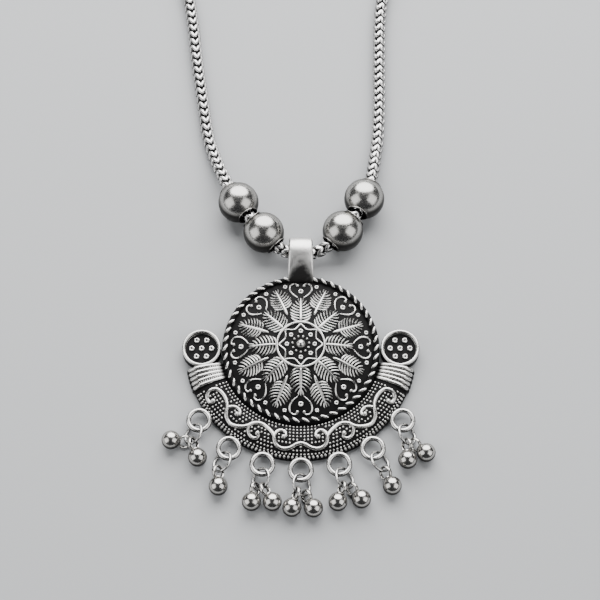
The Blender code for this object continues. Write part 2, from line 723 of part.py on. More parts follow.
def place_drop(name, mesh, link, way, seat, turn, slack):
    """Hang a drop on its link: its eye crosses the link's wire, its ball rests."""
    out, side, up, centre = (Vector(column[:3]) for column in link.col)
    seat, turn = radians(seat), radians(turn)
    wire = centre + (out * cos(seat) + side * sin(seat)) * LINK_RADIUS
    tangent = side * cos(seat) - out * sin(seat)
    heading = Matrix.Rotation(turn, 3, "Z") @ way
    eye_height = wire.z
    for _ in range(4):
        rise = eye_height - DROP_RADIUS
        flat = sqrt(EYE_DISTANCE**2 - rise**2)
        to_link = (Vector((0, 0, rise)) - heading * flat) / EYE_DISTANCE
        eye_up = tangent.cross(to_link).normalized()
        reach = EYE_RADIUS * hypot(to_link.z, eye_up.z) + EYE_WIRE / 2 + EYE_FLOOR_GAP
        eye_height = max(wire.z, reach)
    ball = wire + heading * (flat + slack * EYE_RADIUS)
    ball.z = DROP_RADIUS
    drop = add_object(name, mesh)
    drop.matrix_world = frame_of(to_link, eye_up.cross(to_link), eye_up, ball)
    return drop


def make_clusters(link_material, drop_material):
    """The seven link rings and the twelve drops that hang on them."""
    link_shape = link_mesh(link_material)
    drop_shape = drop_mesh(drop_material)
    pieces = []
    for number, (angle, swing, side_up, drops) in enumerate(CLUSTERS, start=1):
        loop = polar(LOOP_CENTRE_RADIUS, angle, LINK_HEIGHT)
        way = polar(1, angle + swing, 0)
        beside = Vector((0, 0, 1)).cross(way)
        lean = radians(LINK_LEAN) * side_up
        side = beside * cos(lean) + Vector((0, 0, sin(lean)))
        placing = frame_of(way, side, way.cross(side), loop + way * LINK_REACH)
        link = add_object(f"link_{number}", link_shape)
        link.matrix_world = placing
        pieces.append(link)
        for letter, (seat, turn, slack) in zip("ab", drops):
            pieces.append(place_drop(f"drop_{number}{letter}", drop_shape, placing, way,
                                     seat, turn, slack))
    return pieces


def make_clasp(material):
    """A plain barrel with a blind socket for the chain at each end."""
    radius = CLASP_DIAMETER / 2
    socket = CHAIN_RADIUS + CLASP_CLEARANCE
    half = CLASP_LENGTH / 2
    end = [(0, half - CLASP_SOCKET_DEPTH), (socket, half - CLASP_SOCKET_DEPTH),
           (socket, half), (radius - CLASP_END_ROUNDING / 4, half),
           (radius, half - CLASP_END_ROUNDING)]
    profile = [(r, -z) for r, z in end] + [(r, z) for r, z in end[::-1]]
    bm = bmesh.new()
    lathe(bm, profile, CLASP_SIDES, closed=False)
    clasp = add_object("clasp", finish_mesh(bm, "clasp"))
    clasp.data.materials.append(material)
    clasp.rotation_euler = (0, pi / 2, 0)
    clasp.location = (*CLASP_PLACE, radius)
    return clasp


def centre_on_base(pieces):
    """Parent the pieces to one empty whose move puts the origin under the middle."""
    bpy.context.view_layer.update()
    depsgraph = bpy.context.evaluated_depsgraph_get()
    corners = []
    for piece in pieces:
        evaluated = piece.evaluated_get(depsgraph)
        corners += [piece.matrix_world @ vert.co for vert in evaluated.to_mesh().vertices]
        evaluated.to_mesh_clear()
    low = Vector([min(corner[axis] for corner in corners) for axis in range(3)])
    high = Vector([max(corner[axis] for corner in corners) for axis in range(3)])
    necklace = add_object("necklace", None)
    necklace.location = (-(low.x + high.x) / 2, -(low.y + high.y) / 2, -low.z)
    for piece in pieces:
        piece.parent = necklace


def main():
    clear_scene()
    bright = silver("bead_silver", (0.60, 0.58, 0.55), 0.24)
    first_beads = (BAIL_TO_LEFT_BEAD, BAIL_TO_RIGHT_BEAD)
    sides = [chain_side(LEFT_ROUTE, -1), chain_side(RIGHT_ROUTE, 1)]
    pieces = [make_pendant(silver("pendant_silver", (0.55, 0.54, 0.52), 0.34))]
    pieces.append(make_chain(sides, first_beads, silver("chain_silver", (0.5, 0.5, 0.48), 0.38)))
    bead = bead_mesh(bright)
    for word, side, first in zip(("left", "right"), sides, first_beads):
        for number, place in enumerate(("lower", "upper")):
            distance = first + number * (BEAD_DIAMETER + BEAD_GAP)
            pieces.append(place_bead(f"bead_{word}_{place}", bead, side, distance))
    pieces += make_clusters(silver("link_silver", (0.62, 0.60, 0.57), 0.3),
                            silver("drop_silver", (0.60, 0.58, 0.56), 0.26))
    pieces.append(make_clasp(silver("clasp_silver", (0.58, 0.56, 0.54), 0.32)))
    centre_on_base(pieces)


main()
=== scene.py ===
# %% [markdown]
# # A statement necklace of oxidised silver
#
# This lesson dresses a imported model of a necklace: a domed round pendant with a crescent
# below it, on a woven chain with four hollow beads, and small balls along the crescent's
# rim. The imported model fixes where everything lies, so every piece here is made in the
# same frame, in metres, round the pendant's own centre.

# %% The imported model
import json
from bisect import bisect_right
from math import asin, atan, cos, hypot, pi, radians, sin, sqrt

import bmesh
import bpy
from mathutils import Matrix, Vector, noise


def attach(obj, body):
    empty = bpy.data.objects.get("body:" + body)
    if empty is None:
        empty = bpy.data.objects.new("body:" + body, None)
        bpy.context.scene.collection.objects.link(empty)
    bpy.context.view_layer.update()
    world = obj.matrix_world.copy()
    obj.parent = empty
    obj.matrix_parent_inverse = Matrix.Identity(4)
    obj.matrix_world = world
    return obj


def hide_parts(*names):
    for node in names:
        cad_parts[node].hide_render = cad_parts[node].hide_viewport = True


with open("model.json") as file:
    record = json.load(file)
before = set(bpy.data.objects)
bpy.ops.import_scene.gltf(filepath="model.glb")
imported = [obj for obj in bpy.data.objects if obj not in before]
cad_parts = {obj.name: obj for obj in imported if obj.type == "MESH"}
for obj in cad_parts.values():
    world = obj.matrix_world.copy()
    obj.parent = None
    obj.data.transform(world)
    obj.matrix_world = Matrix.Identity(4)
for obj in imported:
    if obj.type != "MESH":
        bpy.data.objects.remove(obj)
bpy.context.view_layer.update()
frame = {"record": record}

MM = 0.001

# %% [markdown]
# ## Where the pendant's centre is
#
# The record's one mount is a point on the flat ring behind the pendant, 17 mm towards the
# drops from its centre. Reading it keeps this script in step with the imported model, where
# a number typed in by hand could go stale.

# %% The pendant's centre
BACK_MOUNT_RADIUS = 0.017
mount = frame["record"]["mounts"][0]["pos_m"]
CENTRE = Vector((mount[0], mount[1] + BACK_MOUNT_RADIUS, 0))
print("pendant centre:", [round(value, 5) for value in CENTRE])

# %% [markdown]
# ## The camera
#
# The picture looks down on the necklace at about 68 degrees with a long lens. The camera
# comes first, because everything after it is judged through it, and its place is measured
# from the pendant's centre.

# %% Camera
CAMERA_PLACE = Vector((-0.000186, -0.124116, 0.339872))
CAMERA_TILT = radians(22)
PICTURE_HALF_WIDTH = 300
PICTURE_FOCAL_LENGTH = 1543

camera_data = bpy.data.cameras.new("camera")
camera_data.angle = 2 * atan(PICTURE_HALF_WIDTH / PICTURE_FOCAL_LENGTH)
camera_data.clip_start = 0.01
camera = bpy.data.objects.new("camera", camera_data)
camera.location = CENTRE + CAMERA_PLACE
camera.rotation_euler = (CAMERA_TILT, 0, 0)
bpy.context.collection.objects.link(camera)
bpy.context.scene.camera = camera
print("camera at", [round(value, 4) for value in camera.location])

# %% [markdown]
# ## Floor and light
#
# Polished metal has hardly a colour of its own and shows what it mirrors. Small lamps
# would leave hard dots on the beads. So a wide soft box behind the chain makes the broad
# highlight on each bead, and a lower one on each side the paler patches, with the dark
# room between them. The floor is plain and pale.

# %% Floor
FLOOR_SIZE = 3.0
FLOOR_COLOUR = (0.50, 0.51, 0.52, 1)
FLOOR_ROUGHNESS = 0.75


def set_inputs(node, values):
    for name, value in values.items():
        node.inputs[name].default_value = value


floor_material = bpy.data.materials.new("floor_paper")
floor_material.use_nodes = True
set_inputs(floor_material.node_tree.nodes["Principled BSDF"],
           {"Base Color": FLOOR_COLOUR, "Roughness": FLOOR_ROUGHNESS})
floor_mesh = bpy.data.meshes.new("floor")
bm = bmesh.new()
bmesh.ops.create_grid(bm, x_segments=1, y_segments=1, size=FLOOR_SIZE / 2)
bm.to_mesh(floor_mesh)
bm.free()
floor_mesh.materials.append(floor_material)
floor = bpy.data.objects.new("floor", floor_mesh)
bpy.context.collection.objects.link(floor)
print("floor", FLOOR_SIZE, "m across")

# %% Soft boxes and room
SOFT_BOXES = [
    # name, shape, direction from the pendant, distance, width, height, watts
    ("soft_box_back", "ELLIPSE", (0.04, 0.77, 0.64), 0.58, 0.90, 0.74, 11.0),
    ("soft_box_left", "RECTANGLE", (-0.80, -0.22, 0.54), 0.60, 0.48, 0.54, 1.7),
    ("soft_box_right", "RECTANGLE", (0.72, -0.27, 0.64), 0.60, 0.48, 0.54, 1.7),
]
ROOM_COLOUR = (0.60, 0.62, 0.66, 1)
ROOM_STRENGTH = 0.08

for name, shape, direction, distance, width, height, watts in SOFT_BOXES:
    light = bpy.data.lights.new(name, "AREA")
    light.shape = shape
    light.size = width
    light.size_y = height
    light.energy = watts
    lamp = bpy.data.objects.new(name, light)
    towards = Vector(direction).normalized()
    lamp.location = CENTRE + towards * distance
    lamp.rotation_euler = towards.to_track_quat("Z", "Y").to_euler()
    bpy.context.collection.objects.link(lamp)
    print(name, "at", [round(value, 3) for value in lamp.location])

room = bpy.data.worlds.new("room")
room.use_nodes = True
set_inputs(room.node_tree.nodes["Background"],
           {"Color": ROOM_COLOUR, "Strength": ROOM_STRENGTH})
bpy.context.scene.world = room

# %% [markdown]
# ## One finish for all the silver
#
# A silversmith dips the piece in a bath that turns it nearly black and rubs it with a
# cloth, which reaches only the high places. A painted mask could copy that, or a node
# that finds sharp edges, but a mask has to be drawn for each piece, and edges alone miss
# the broad high places. Here, each mesh carries a number on every vertex, called
# wear_and_shade, and the material mixes black and bright metal by it. On the castings it
# mostly says how much rubbing the place gets, so the black is oxide, though on some relief
# it also darkens the sides that turn away from the top light as painted shade. On the
# wires, the chain, the beads and the drops it is painted shade, darker where the place
# turns away from the top light. Noise breaks up the border and adds fine scratches.

# %% The oxidised silver material
BLOTCHES = (420, 6)         # scale and detail of a noise
SMUDGES = (2600, 3)
SCRATCHES = (5200, 4)
SCRATCH_DEPTH = 0.00002
SMUDGE_ROUGHNESS = 0.05
WEAR_AND_SHADE_BORDER = (0.22, 0.78)
OXIDE_GLOSS = 0.10


def add_noise(tree, coordinates, scale, detail):
    texture = tree.nodes.new("ShaderNodeTexNoise")
    set_inputs(texture, {"Scale": scale, "Detail": detail})
    tree.links.new(coordinates.outputs["Object"], texture.inputs["Vector"])
    return texture.outputs["Fac"]


def add_range(tree, value, from_low, from_high, to_low, to_high):
    """A smooth change from one range of numbers to another."""
    node = tree.nodes.new("ShaderNodeMapRange")
    node.interpolation_type = "SMOOTHSTEP"
    set_inputs(node, {"From Min": from_low, "From Max": from_high,
                      "To Min": to_low, "To Max": to_high})
    tree.links.new(value, node.inputs["Value"])
    return node.outputs["Result"]


def oxidised_and_shaded_silver(name, bright, dark, polish, dullness, patchiness, grain, rim=0.8):
    """Silver that is bright where wear_and_shade is 1 and black where it is 0: oxide, and
    painted shade.
    """
    material = bpy.data.materials.new(name)
    material.use_nodes = True
    tree = material.node_tree
    shader = tree.nodes["Principled BSDF"]
    set_inputs(shader, {"Specular IOR Level": OXIDE_GLOSS, "Specular Tint": (rim, rim, rim, 1)})
    coordinates = tree.nodes.new("ShaderNodeTexCoord")
    wear_and_shade = tree.nodes.new("ShaderNodeAttribute")
    wear_and_shade.attribute_name = "wear_and_shade"
    shift = tree.nodes.new("ShaderNodeMath")
    shift.operation = "MULTIPLY_ADD"
    set_inputs(shift, {1: patchiness})
    low, high = [patchiness / 2 + edge for edge in WEAR_AND_SHADE_BORDER]
    # bright_share is 1 on rubbed or top-lit places and 0 on oxide and painted shade.
    bright_share = add_range(tree, shift.outputs[0], low, high, 0, 1)
    mix = tree.nodes.new("ShaderNodeMix")
    mix.data_type = "RGBA"
    set_inputs(mix, {"A": (*dark, 1), "B": (*bright, 1)})
    cloud = add_range(tree, add_noise(tree, coordinates, *SMUDGES), 0.3, 0.7,
                      -SMUDGE_ROUGHNESS, SMUDGE_ROUGHNESS)
    total = tree.nodes.new("ShaderNodeMath")
    total.operation = "ADD"
    total.use_clamp = True
    bump = tree.nodes.new("ShaderNodeBump")
    set_inputs(bump, {"Distance": SCRATCH_DEPTH, "Strength": grain})
    for output, target, entry in (
            (add_noise(tree, coordinates, *BLOTCHES), shift, 0),
            (wear_and_shade.outputs["Fac"], shift, 2),
            (bright_share, mix, "Factor"),
            (mix.outputs["Result"], shader, "Base Color"),
            (bright_share, shader, "Metallic"),
            (add_range(tree, bright_share, 0, 1, dullness, polish), total, 0),
            (cloud, total, 1),
            (total.outputs[0], shader, "Roughness"),
            (add_noise(tree, coordinates, *SCRATCHES), bump, "Height"),
            (bump.outputs["Normal"], shader, "Normal")):
        tree.links.new(output, target.inputs[entry])
    return material


# The dark colours are black oxide on the castings and the clasp, and painted shade where the
# wires, chain, beads and drops turn away from the top light.
OXIDE_AND_SHADE = (0.008, 0.0077, 0.008)
GREY_OXIDE_AND_SHADE = (0.022, 0.021, 0.020)
RUBBED_SILVER = (0.72, 0.71, 0.69)
casting_silver = oxidised_and_shaded_silver("casting_silver", RUBBED_SILVER, OXIDE_AND_SHADE,
                                 0.26, 0.55, 0.14, 0.25)
brushed_silver = oxidised_and_shaded_silver("brushed_silver", (0.80, 0.79, 0.77), (0.020, 0.019, 0.019),
                                 0.36, 0.60, 0.50, 0.40)
wire_silver = oxidised_and_shaded_silver("wire_silver", RUBBED_SILVER, OXIDE_AND_SHADE,
                              0.26, 0.50, 0.12, 0.15, 0.50)
chain_silver = oxidised_and_shaded_silver("woven_silver", (0.80, 0.79, 0.78), OXIDE_AND_SHADE,
                               0.26, 0.50, 0.12, 0.20)
bead_silver = oxidised_and_shaded_silver("bead_silver", (0.50, 0.49, 0.47), GREY_OXIDE_AND_SHADE,
                              0.24, 0.34, 0.08, 0.08, 0.30)
drop_silver = oxidised_and_shaded_silver("drop_silver", (0.56, 0.545, 0.52), GREY_OXIDE_AND_SHADE,
                              0.20, 0.34, 0.08, 0.06, 0.30)
print("silver finishes made: 6")

# %% [markdown]
# ## Helpers for modelling
#
# Everything here is wire, ball, bar or turned sheet. Curves with a bevel could make the
# wires too, but a mesh can carry the wear number from the start. A ball is a sphere that
# a matrix squeezes and places, a wire is a circle extruded along its path, and a ring or
# turned piece is a profile spun round an axis. Each is an operator that Blender already
# has.

# %% Helpers
UP = Vector((0, 0, 1))
BALL_MESHES = {}
CURVE_STEPS = 24


def placed(x_axis, y_axis, z_axis, origin):
    """A placing matrix from three axes, which may be stretched, and an origin."""
    turned = Matrix((x_axis, y_axis, z_axis)).transposed().to_4x4()
    return Matrix.Translation(origin) @ turned


def polar(radius, angle, height=0.0):
    """A point at a radius and an angle in degrees from straight down."""
    return Vector((radius * sin(radians(angle)), -radius * cos(radians(angle)), height))


def directions(angle):
    """The ways outwards and sideways at an angle in degrees from straight down."""
    outwards = polar(1, angle)
    return outwards, UP.cross(outwards)


def smoothstep(low, high, value):
    share = min(max((value - low) / (high - low), 0), 1)
    return share * share * (3 - 2 * share)


def arc(radius, height, size, angles):
    """Points of a profile on a circle of some size round (radius, height)."""
    return [(radius + size * cos(radians(angle)), height + size * sin(radians(angle)))
            for angle in angles]


def stamp_ball(bm, segments, rings, matrix):
    """Add a sphere of radius 1, put in place by a matrix. Each kind is made once and copied."""
    key = (segments, rings)
    if key not in BALL_MESHES:
        ball = bmesh.new()
        bmesh.ops.create_uvsphere(ball, u_segments=segments, v_segments=rings, radius=1)
        BALL_MESHES[key] = bpy.data.meshes.new("unit_ball")
        ball.to_mesh(BALL_MESHES[key])
        ball.free()
    mesh = BALL_MESHES[key]
    verts = [bm.verts.new(matrix @ vert.co) for vert in mesh.vertices]
    for face in mesh.polygons:
        bm.faces.new([verts[k] for k in face.vertices])
    return verts


def add_ball(bm, place, radius, segments, rings):
    size = Matrix.Diagonal((radius, radius, radius, 1))
    stamp_ball(bm, segments, rings, Matrix.Translation(place) @ size)


def add_bar(bm, start, end, width, height, bow=0.0, taper=0.0, segments=8, rings=6,
            fullness=2.6):
    """A rounded bar between two points, bowed sideways and thinner towards its end."""
    along = end - start
    across = along.cross(UP).normalized()
    matrix = placed(across, across.cross(along).normalized(), along.normalized(),
                    (start + end) / 2)
    for vert in stamp_ball(bm, segments, rings, Matrix.Identity(4)):
        x, y, share = vert.co
        full = (1 - abs(share) ** fullness) ** 0.5 / max(sqrt(1 - share**2), 0.001)
        full *= 1 - taper * share
        vert.co = matrix @ Vector((x * full * width / 2 + bow * (1 - share**2),
                                   y * full * height / 2, share * along.length / 2))


def add_wire(bm, path, radii, sides, up=lambda point: UP, flatness=1.0, closed=False):
    """Extrude a circle along a path, step by step, and close its ends."""
    places = []
    last = len(path) - 1
    for k, (point, radius) in enumerate(zip(path, radii)):
        if closed:
            along = path[(k + 1) % len(path)] - path[k - 1]
        else:
            along = path[min(k + 1, last)] - path[max(k - 1, 0)]
        along.normalize()
        across = along.cross(up(point)).normalized()
        places.append(placed(across * radius, across.cross(along) * radius * flatness,
                             along * radius, point))
    first = bmesh.ops.create_circle(bm, segments=sides, radius=1, matrix=places[0])["verts"]
    start_loop = loop = list({edge for vert in first for edge in vert.link_edges})
    for before, after in zip(places, places[1:]):
        grown = bmesh.ops.extrude_edge_only(bm, edges=loop)["geom"]
        verts = [item for item in grown if isinstance(item, bmesh.types.BMVert)]
        fresh = set(verts)
        loop = [item for item in grown if isinstance(item, bmesh.types.BMEdge)
                and item.verts[0] in fresh and item.verts[1] in fresh]
        bmesh.ops.transform(bm, matrix=after @ before.inverted(), verts=verts)
    if closed:
        bmesh.ops.bridge_loops(bm, edges=start_loop + loop)
    else:
        bmesh.ops.holes_fill(bm, edges=start_loop + loop, sides=sides)


def add_line(bm, points, closed=True):
    """New points and the edges that join them, back to the first point if closed."""
    verts = [bm.verts.new(point) for point in points]
    ends = verts[1:] + verts[:1] if closed else verts[1:]
    return verts, [bm.edges.new(pair) for pair in zip(verts, ends)]


def spin_profile(bm, profile, steps, closed=False):
    """Turn a profile of (radius, height) points fully round Z."""
    before = set(bm.verts)
    verts, edges = add_line(bm, [(radius, 0, height) for radius, height in profile], closed)
    bmesh.ops.spin(bm, geom=verts + edges, cent=(0, 0, 0), axis=(0, 0, 1), angle=2 * pi,
                   steps=steps, use_merge=True)
    made = [vert for vert in bm.verts if vert not in before]
    bmesh.ops.remove_doubles(bm, verts=made, dist=0.000001)
    return [vert for vert in bm.verts if vert not in before]


def add_ring(bm, radius, wire_radius, steps, sides, matrix, strap=1.0):
    """A closed ring of wire round Z. A strap above 1 makes it wider along Z."""
    section = arc(radius, 0, wire_radius, [360 * k / sides for k in range(sides)])
    profile = [(out, along * strap) for out, along in section]
    verts = spin_profile(bm, profile, steps, closed=True)
    bmesh.ops.transform(bm, matrix=matrix, verts=verts)


def add_dimpled_dot(bm, place, radius):
    """A ball with a dent in its top: a fat little ring, with the ground in its middle."""
    add_ring(bm, 0.64 * radius, 0.36 * radius, 16, 8, Matrix.Translation(place))


def smooth_path(points, spacing, closed=False):
    """Points at an even spacing on a smooth curve through the given ones."""
    points = [Vector(point) for point in points]
    if closed:
        points = [points[-1], *points, *points[:2]]
    else:
        points = [points[0], *points, points[-1]]
    tangents = [(after - before) / ((here - before).length + (after - here).length)
                for before, here, after in zip(points, points[1:], points[2:])]
    points = points[1:-1]
    fine = [points[0]]
    for start, end, leave, arrive in zip(points, points[1:], tangents, tangents[1:]):
        length = (end - start).length
        for step in range(1, CURVE_STEPS + 1):
            t = step / CURVE_STEPS
            fine.append(start * (2 * t**3 - 3 * t**2 + 1) + end * (3 * t**2 - 2 * t**3)
                        + leave * length * (t**3 - 2 * t**2 + t)
                        + arrive * length * (t**3 - t**2))
    lengths = running_lengths(fine)
    steps = max(2, round(lengths[-1] / spacing))
    stations = range(steps) if closed else range(steps + 1)
    return [point_along(fine, lengths, lengths[-1] * k / steps) for k in stations]


def running_lengths(line):
    lengths = [0.0]
    for start, end in zip(line, line[1:]):
        lengths.append(lengths[-1] + (end - start).length)
    return lengths


def point_along(line, lengths, distance):
    low = min(max(bisect_right(lengths, distance) - 1, 0), len(line) - 2)
    share = (distance - lengths[low]) / (lengths[low + 1] - lengths[low])
    return line[low].lerp(line[low + 1], share)


def read_table(table, place, ease=lambda share: share):
    """Read a table of (place, value) pairs, straight from value to value or eased."""
    for (low, first), (high, last) in zip(table, table[1:]):
        if place <= high:
            return first + (last - first) * ease((place - low) / (high - low))
    return table[-1][1]


print("helpers ready")

# %% [markdown]
# ## From a bmesh to a finished piece
#
# Every piece ends the same way, so one function does it for all. The faces are turned
# outwards, the wear_and_shade number is written, the piece moves to its place in the
# imported model, and it is shaded smooth apart from its sharp edges. Then it is hung under
# its body and given its material, and the imported node that it stands for is hidden.
# Three kinds of this number come up again and again, so each has a helper: all black,
# painted shade by how a place faces upwards, and wear by height.

# %% Finishing a piece
SHARP_ANGLE = radians(40)


def finish_piece(name, bm, material, wear_and_shade, node):
    bmesh.ops.recalc_face_normals(bm, faces=bm.faces)
    bm.normal_update()
    layer = bm.verts.layers.float.new("wear_and_shade")
    for vert in bm.verts:
        vert[layer] = wear_and_shade(vert.co, vert.normal)
    bmesh.ops.translate(bm, vec=CENTRE, verts=bm.verts)
    mesh = bpy.data.meshes.new(name)
    bm.to_mesh(mesh)
    bm.free()
    mesh.shade_smooth()
    mesh.set_sharp_from_angle(angle=SHARP_ANGLE)
    mesh.materials.append(material)
    piece = bpy.data.objects.new(name, mesh)
    bpy.context.collection.objects.link(piece)
    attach(piece, "root")
    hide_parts(node)
    triangles = sum(len(face.vertices) - 2 for face in mesh.polygons)
    print(f"{name}: {triangles} triangles")


def finish_casting(name, bm, wear_and_shade, material=casting_silver):
    """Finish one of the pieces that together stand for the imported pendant."""
    finish_piece(name, bm, material, wear_and_shade, "pendant")


def all_black(place, normal):
    """Black all over."""
    return 0.0


def lit_on_top(low, high):
    """Painted shade: bright where the surface faces upwards, darker as it turns away from the
    top light.
    """
    return lambda place, normal: smoothstep(low, high, normal.z)


def worn_above(ground_height, low, high):
    """Wear that grows with the height above a ground round the pendant's centre."""
    return lambda place, normal: smoothstep(
        low, high, place.z - ground_height(hypot(place.x, place.y)))


# %% [markdown]
# ## The dome
#
# The round pendant is a sheet raised into a low dome, with a flat edge, a groove for the
# rope border and an open back. A flattened sphere could give the dome, but not the edge
# and the groove, so its section is drawn and spun round once. Its height is a function,
# because all the relief stands on it.

# %% The dome
DISC_RADIUS = 0.0184
DISC_WALL = 0.0014
BACK_RING_WIDTH = 0.0029
GROOVE_RADIUS = 0.0169
GROOVE_HEIGHT = 0.0024
DOME_RISE = 0.0031
EDGE_ROUNDING = 0.0004
BACK_WEAR = 0.5
BACK_WEAR_HEIGHT = 0.001


def dome_height(radius):
    return GROOVE_HEIGHT + DOME_RISE * (1 - (radius / GROOVE_RADIUS) ** 2)


def on_dome(point, lift=0.0):
    return Vector((point.x, point.y, dome_height(hypot(point.x, point.y)) + lift))


ring_inner = DISC_RADIUS - BACK_RING_WIDTH
profile = [(ring_inner * k / 10, dome_height(ring_inner * k / 10) - DISC_WALL)
           for k in range(10)]
profile += [(ring_inner, 0), (DISC_RADIUS - EDGE_ROUNDING, 0), (DISC_RADIUS, EDGE_ROUNDING),
            (DISC_RADIUS, GROOVE_HEIGHT - EDGE_ROUNDING)]
profile += [(GROOVE_RADIUS * k / 16, dome_height(GROOVE_RADIUS * k / 16))
            for k in range(16, -1, -1)]
bm = bmesh.new()
spin_profile(bm, profile, 96)
finish_casting("pendant_dome", bm, lambda place, normal:
               BACK_WEAR if place.z < BACK_WEAR_HEIGHT else 0.0)

# %% [markdown]
# ## The rope border
#
# A rope border is a round bead with slanting grains, and black fills the rest. Two wires
# could be twisted round each other, but at this size only the grains on top would show.
# So a dark ring comes first, and then fifty long grains, each a stretched ball that
# slants outwards.

# %% The rope border
ROPE_RADIUS = 0.0176
ROPE_HEIGHT = 0.0026
ROPE_GRAINS = 50
ROPE_CORE_RADIUS = 0.0005
ROPE_SLANT = 33.0
GRAIN_SIZE = (0.0007, 0.0007, 0.00215)
GRAIN_LIFT = 0.00042

grain_size = Matrix.Diagonal((*[size / 2 for size in GRAIN_SIZE], 1))
slant = radians(ROPE_SLANT)
bm = bmesh.new()
path = [polar(ROPE_RADIUS, 3 * k, ROPE_HEIGHT) for k in range(120)]
add_wire(bm, path, [ROPE_CORE_RADIUS] * len(path), 12, closed=True)
for k in range(ROPE_GRAINS):
    turn = 360 * (k + 0.5) / ROPE_GRAINS
    outwards, onwards = directions(turn)
    direction = onwards * cos(slant) + outwards * sin(slant)
    matrix = placed(direction.cross(UP), UP, direction * -1,
                    polar(ROPE_RADIUS, turn, ROPE_HEIGHT + GRAIN_LIFT))
    stamp_ball(bm, 12, 10, matrix @ grain_size)
finish_casting("rope_border", bm, worn_above(lambda radius: ROPE_HEIGHT, 0.0005, 0.00062))

# %% [markdown]
# ## The rosette
#
# The middle of the flower is a wire ring with a lobed wire inside it and balls of solder
# in circles, some with a dent where the black stays. The lobes could be eight arcs, but
# one closed wire needs no joints: it dips inwards eight times and comes back in a point
# each time, which the absolute value of a sine gives. A ball with a dent is as good as a
# fat little ring at this size.

# %% The rosette
PETAL_COUNT = 8
ROSETTE_RADIUS = 0.0055
ROSETTE_WIRE_RADIUS = 0.00029
LOBE_RADIUS = 0.0051
LOBE_DIP = 0.0012
LOBE_WIRE_RADIUS = 0.00018
CENTRE_BALL_RADIUS = 0.00108
SMALL_BALLS = (11, 0.00195, 0.00029)      # how many, radius of the circle, own radius
OUTER_DOTS = (8, 0.0032, 0.00054)
RELIEF_LIFT = 0.00012

bm = bmesh.new()
path = [on_dome(polar(ROSETTE_RADIUS, 5 * k), 0.0002) for k in range(72)]
add_wire(bm, path, [ROSETTE_WIRE_RADIUS] * len(path), 10, closed=True)
path = []
for k in range(240):
    dip = LOBE_DIP * abs(sin(radians(PETAL_COUNT / 2 * 1.5 * k)))
    path.append(on_dome(polar(LOBE_RADIUS - dip, 1.5 * k), RELIEF_LIFT))
add_wire(bm, path, [LOBE_WIRE_RADIUS] * len(path), 8, closed=True)
add_ball(bm, on_dome(Vector((0, 0, 0)), 0.0001), CENTRE_BALL_RADIUS, 20, 12)
count, circle, radius = SMALL_BALLS
for k in range(count):
    add_ball(bm, on_dome(polar(circle, 360 * k / count), 0.3 * radius), radius, 12, 8)
count, circle, radius = OUTER_DOTS
for k in range(count):
    add_dimpled_dot(bm, on_dome(polar(circle, 360 * k / count), RELIEF_LIFT), radius)
finish_casting("rosette", bm, worn_above(dome_height, 0.00005, 0.0003))

# %% [markdown]
# ## The leaves
#
# Two rings of eight leaves stand out from the rosette, each a thick midrib with eight
# curved ribs on each side. They could be cut into leaf-shaped plates, but on the real
# casting the black dome shows between the ribs. So a rib is one bowed bar from the midrib
# to the leaf's outline, which is a short table of half widths. The outer leaves start
# with a bare stem, because the inner ones take the room there.

# %% One leaf
LEAF_OUTLINE = [(0.0, 0.62), (0.15, 0.86), (0.40, 1.0), (0.66, 0.86), (0.86, 0.50),
                (1.0, 0.10)]
LEAF_RIBS = 8
RIB_WIDTH = 0.00043
RIB_HEIGHT = 0.0005
RIB_BOW = 0.00026
MIDRIB_WIDTH = 0.00074


def leaf_point(leaf, along, across, lift):
    """A point on a leaf: along and across it in shares of its length and half width."""
    angle, start, length, width, relief, _ = leaf
    outwards, sideways = directions(angle)
    point = outwards * (start + length * along) + sideways * (width / 2 * across)
    swell = relief * (1 - min(abs(across), 1) ** 2) * sin(pi * (0.12 + 0.8 * along))
    return on_dome(point, swell + lift)


def add_leaf_ribs(bm, leaf):
    stem = leaf[5]
    for side in (-1, 1):
        for k in range(LEAF_RIBS):
            share = k / (LEAF_RIBS - 1)
            foot = 0.74 * share
            tip = foot + 0.16 + 0.05 * share
            start = leaf_point(leaf, stem + (1 - stem) * foot, side * 0.06, RIB_HEIGHT * 0.15)
            half_width = read_table(LEAF_OUTLINE, tip, lambda share: smoothstep(0, 1, share))
            end = leaf_point(leaf, stem + (1 - stem) * tip, side * half_width,
                             RIB_HEIGHT * 0.05)
            add_bar(bm, start, end, RIB_WIDTH * (1 - 0.2 * share), RIB_HEIGHT,
                    bow=-side * RIB_BOW * (1 - 0.5 * share), rings=8, fullness=5)
    add_bar(bm, leaf_point(leaf, -0.03, 0, RIB_HEIGHT * 0.25),
            leaf_point(leaf, 0.97, 0, RIB_HEIGHT * 0.25), MIDRIB_WIDTH, RIB_HEIGHT * 1.5,
            taper=0.45, segments=12, rings=10)


# %% Both rings of leaves
LEAF_RINGS = [
    # name, angle of the first leaf, start, length, width, relief, share of bare stem
    ("inner_leaves", 0.0, 0.0057, 0.0067, 0.0052, 0.00012, 0.0),
    ("outer_leaves", 22.5, 0.0082, 0.0078, 0.0052, 0.00004, 0.22)]


def leaf_wear_and_shade(place, normal):
    """Bright on top of the ribs and darker on their flanks, partly wear and partly painted
    shade, and dimmed towards the rope by painted shade.
    """
    rope_shade = 1 - 0.40 * smoothstep(0.0126, 0.0158, hypot(place.x, place.y))
    return rope_shade * smoothstep(0.05, 0.50, normal.z)


for name, first_angle, *sizes in LEAF_RINGS:
    bm = bmesh.new()
    for k in range(PETAL_COUNT):
        add_leaf_ribs(bm, (first_angle + 45 * k, *sizes))
    finish_casting(name, bm, leaf_wear_and_shade)

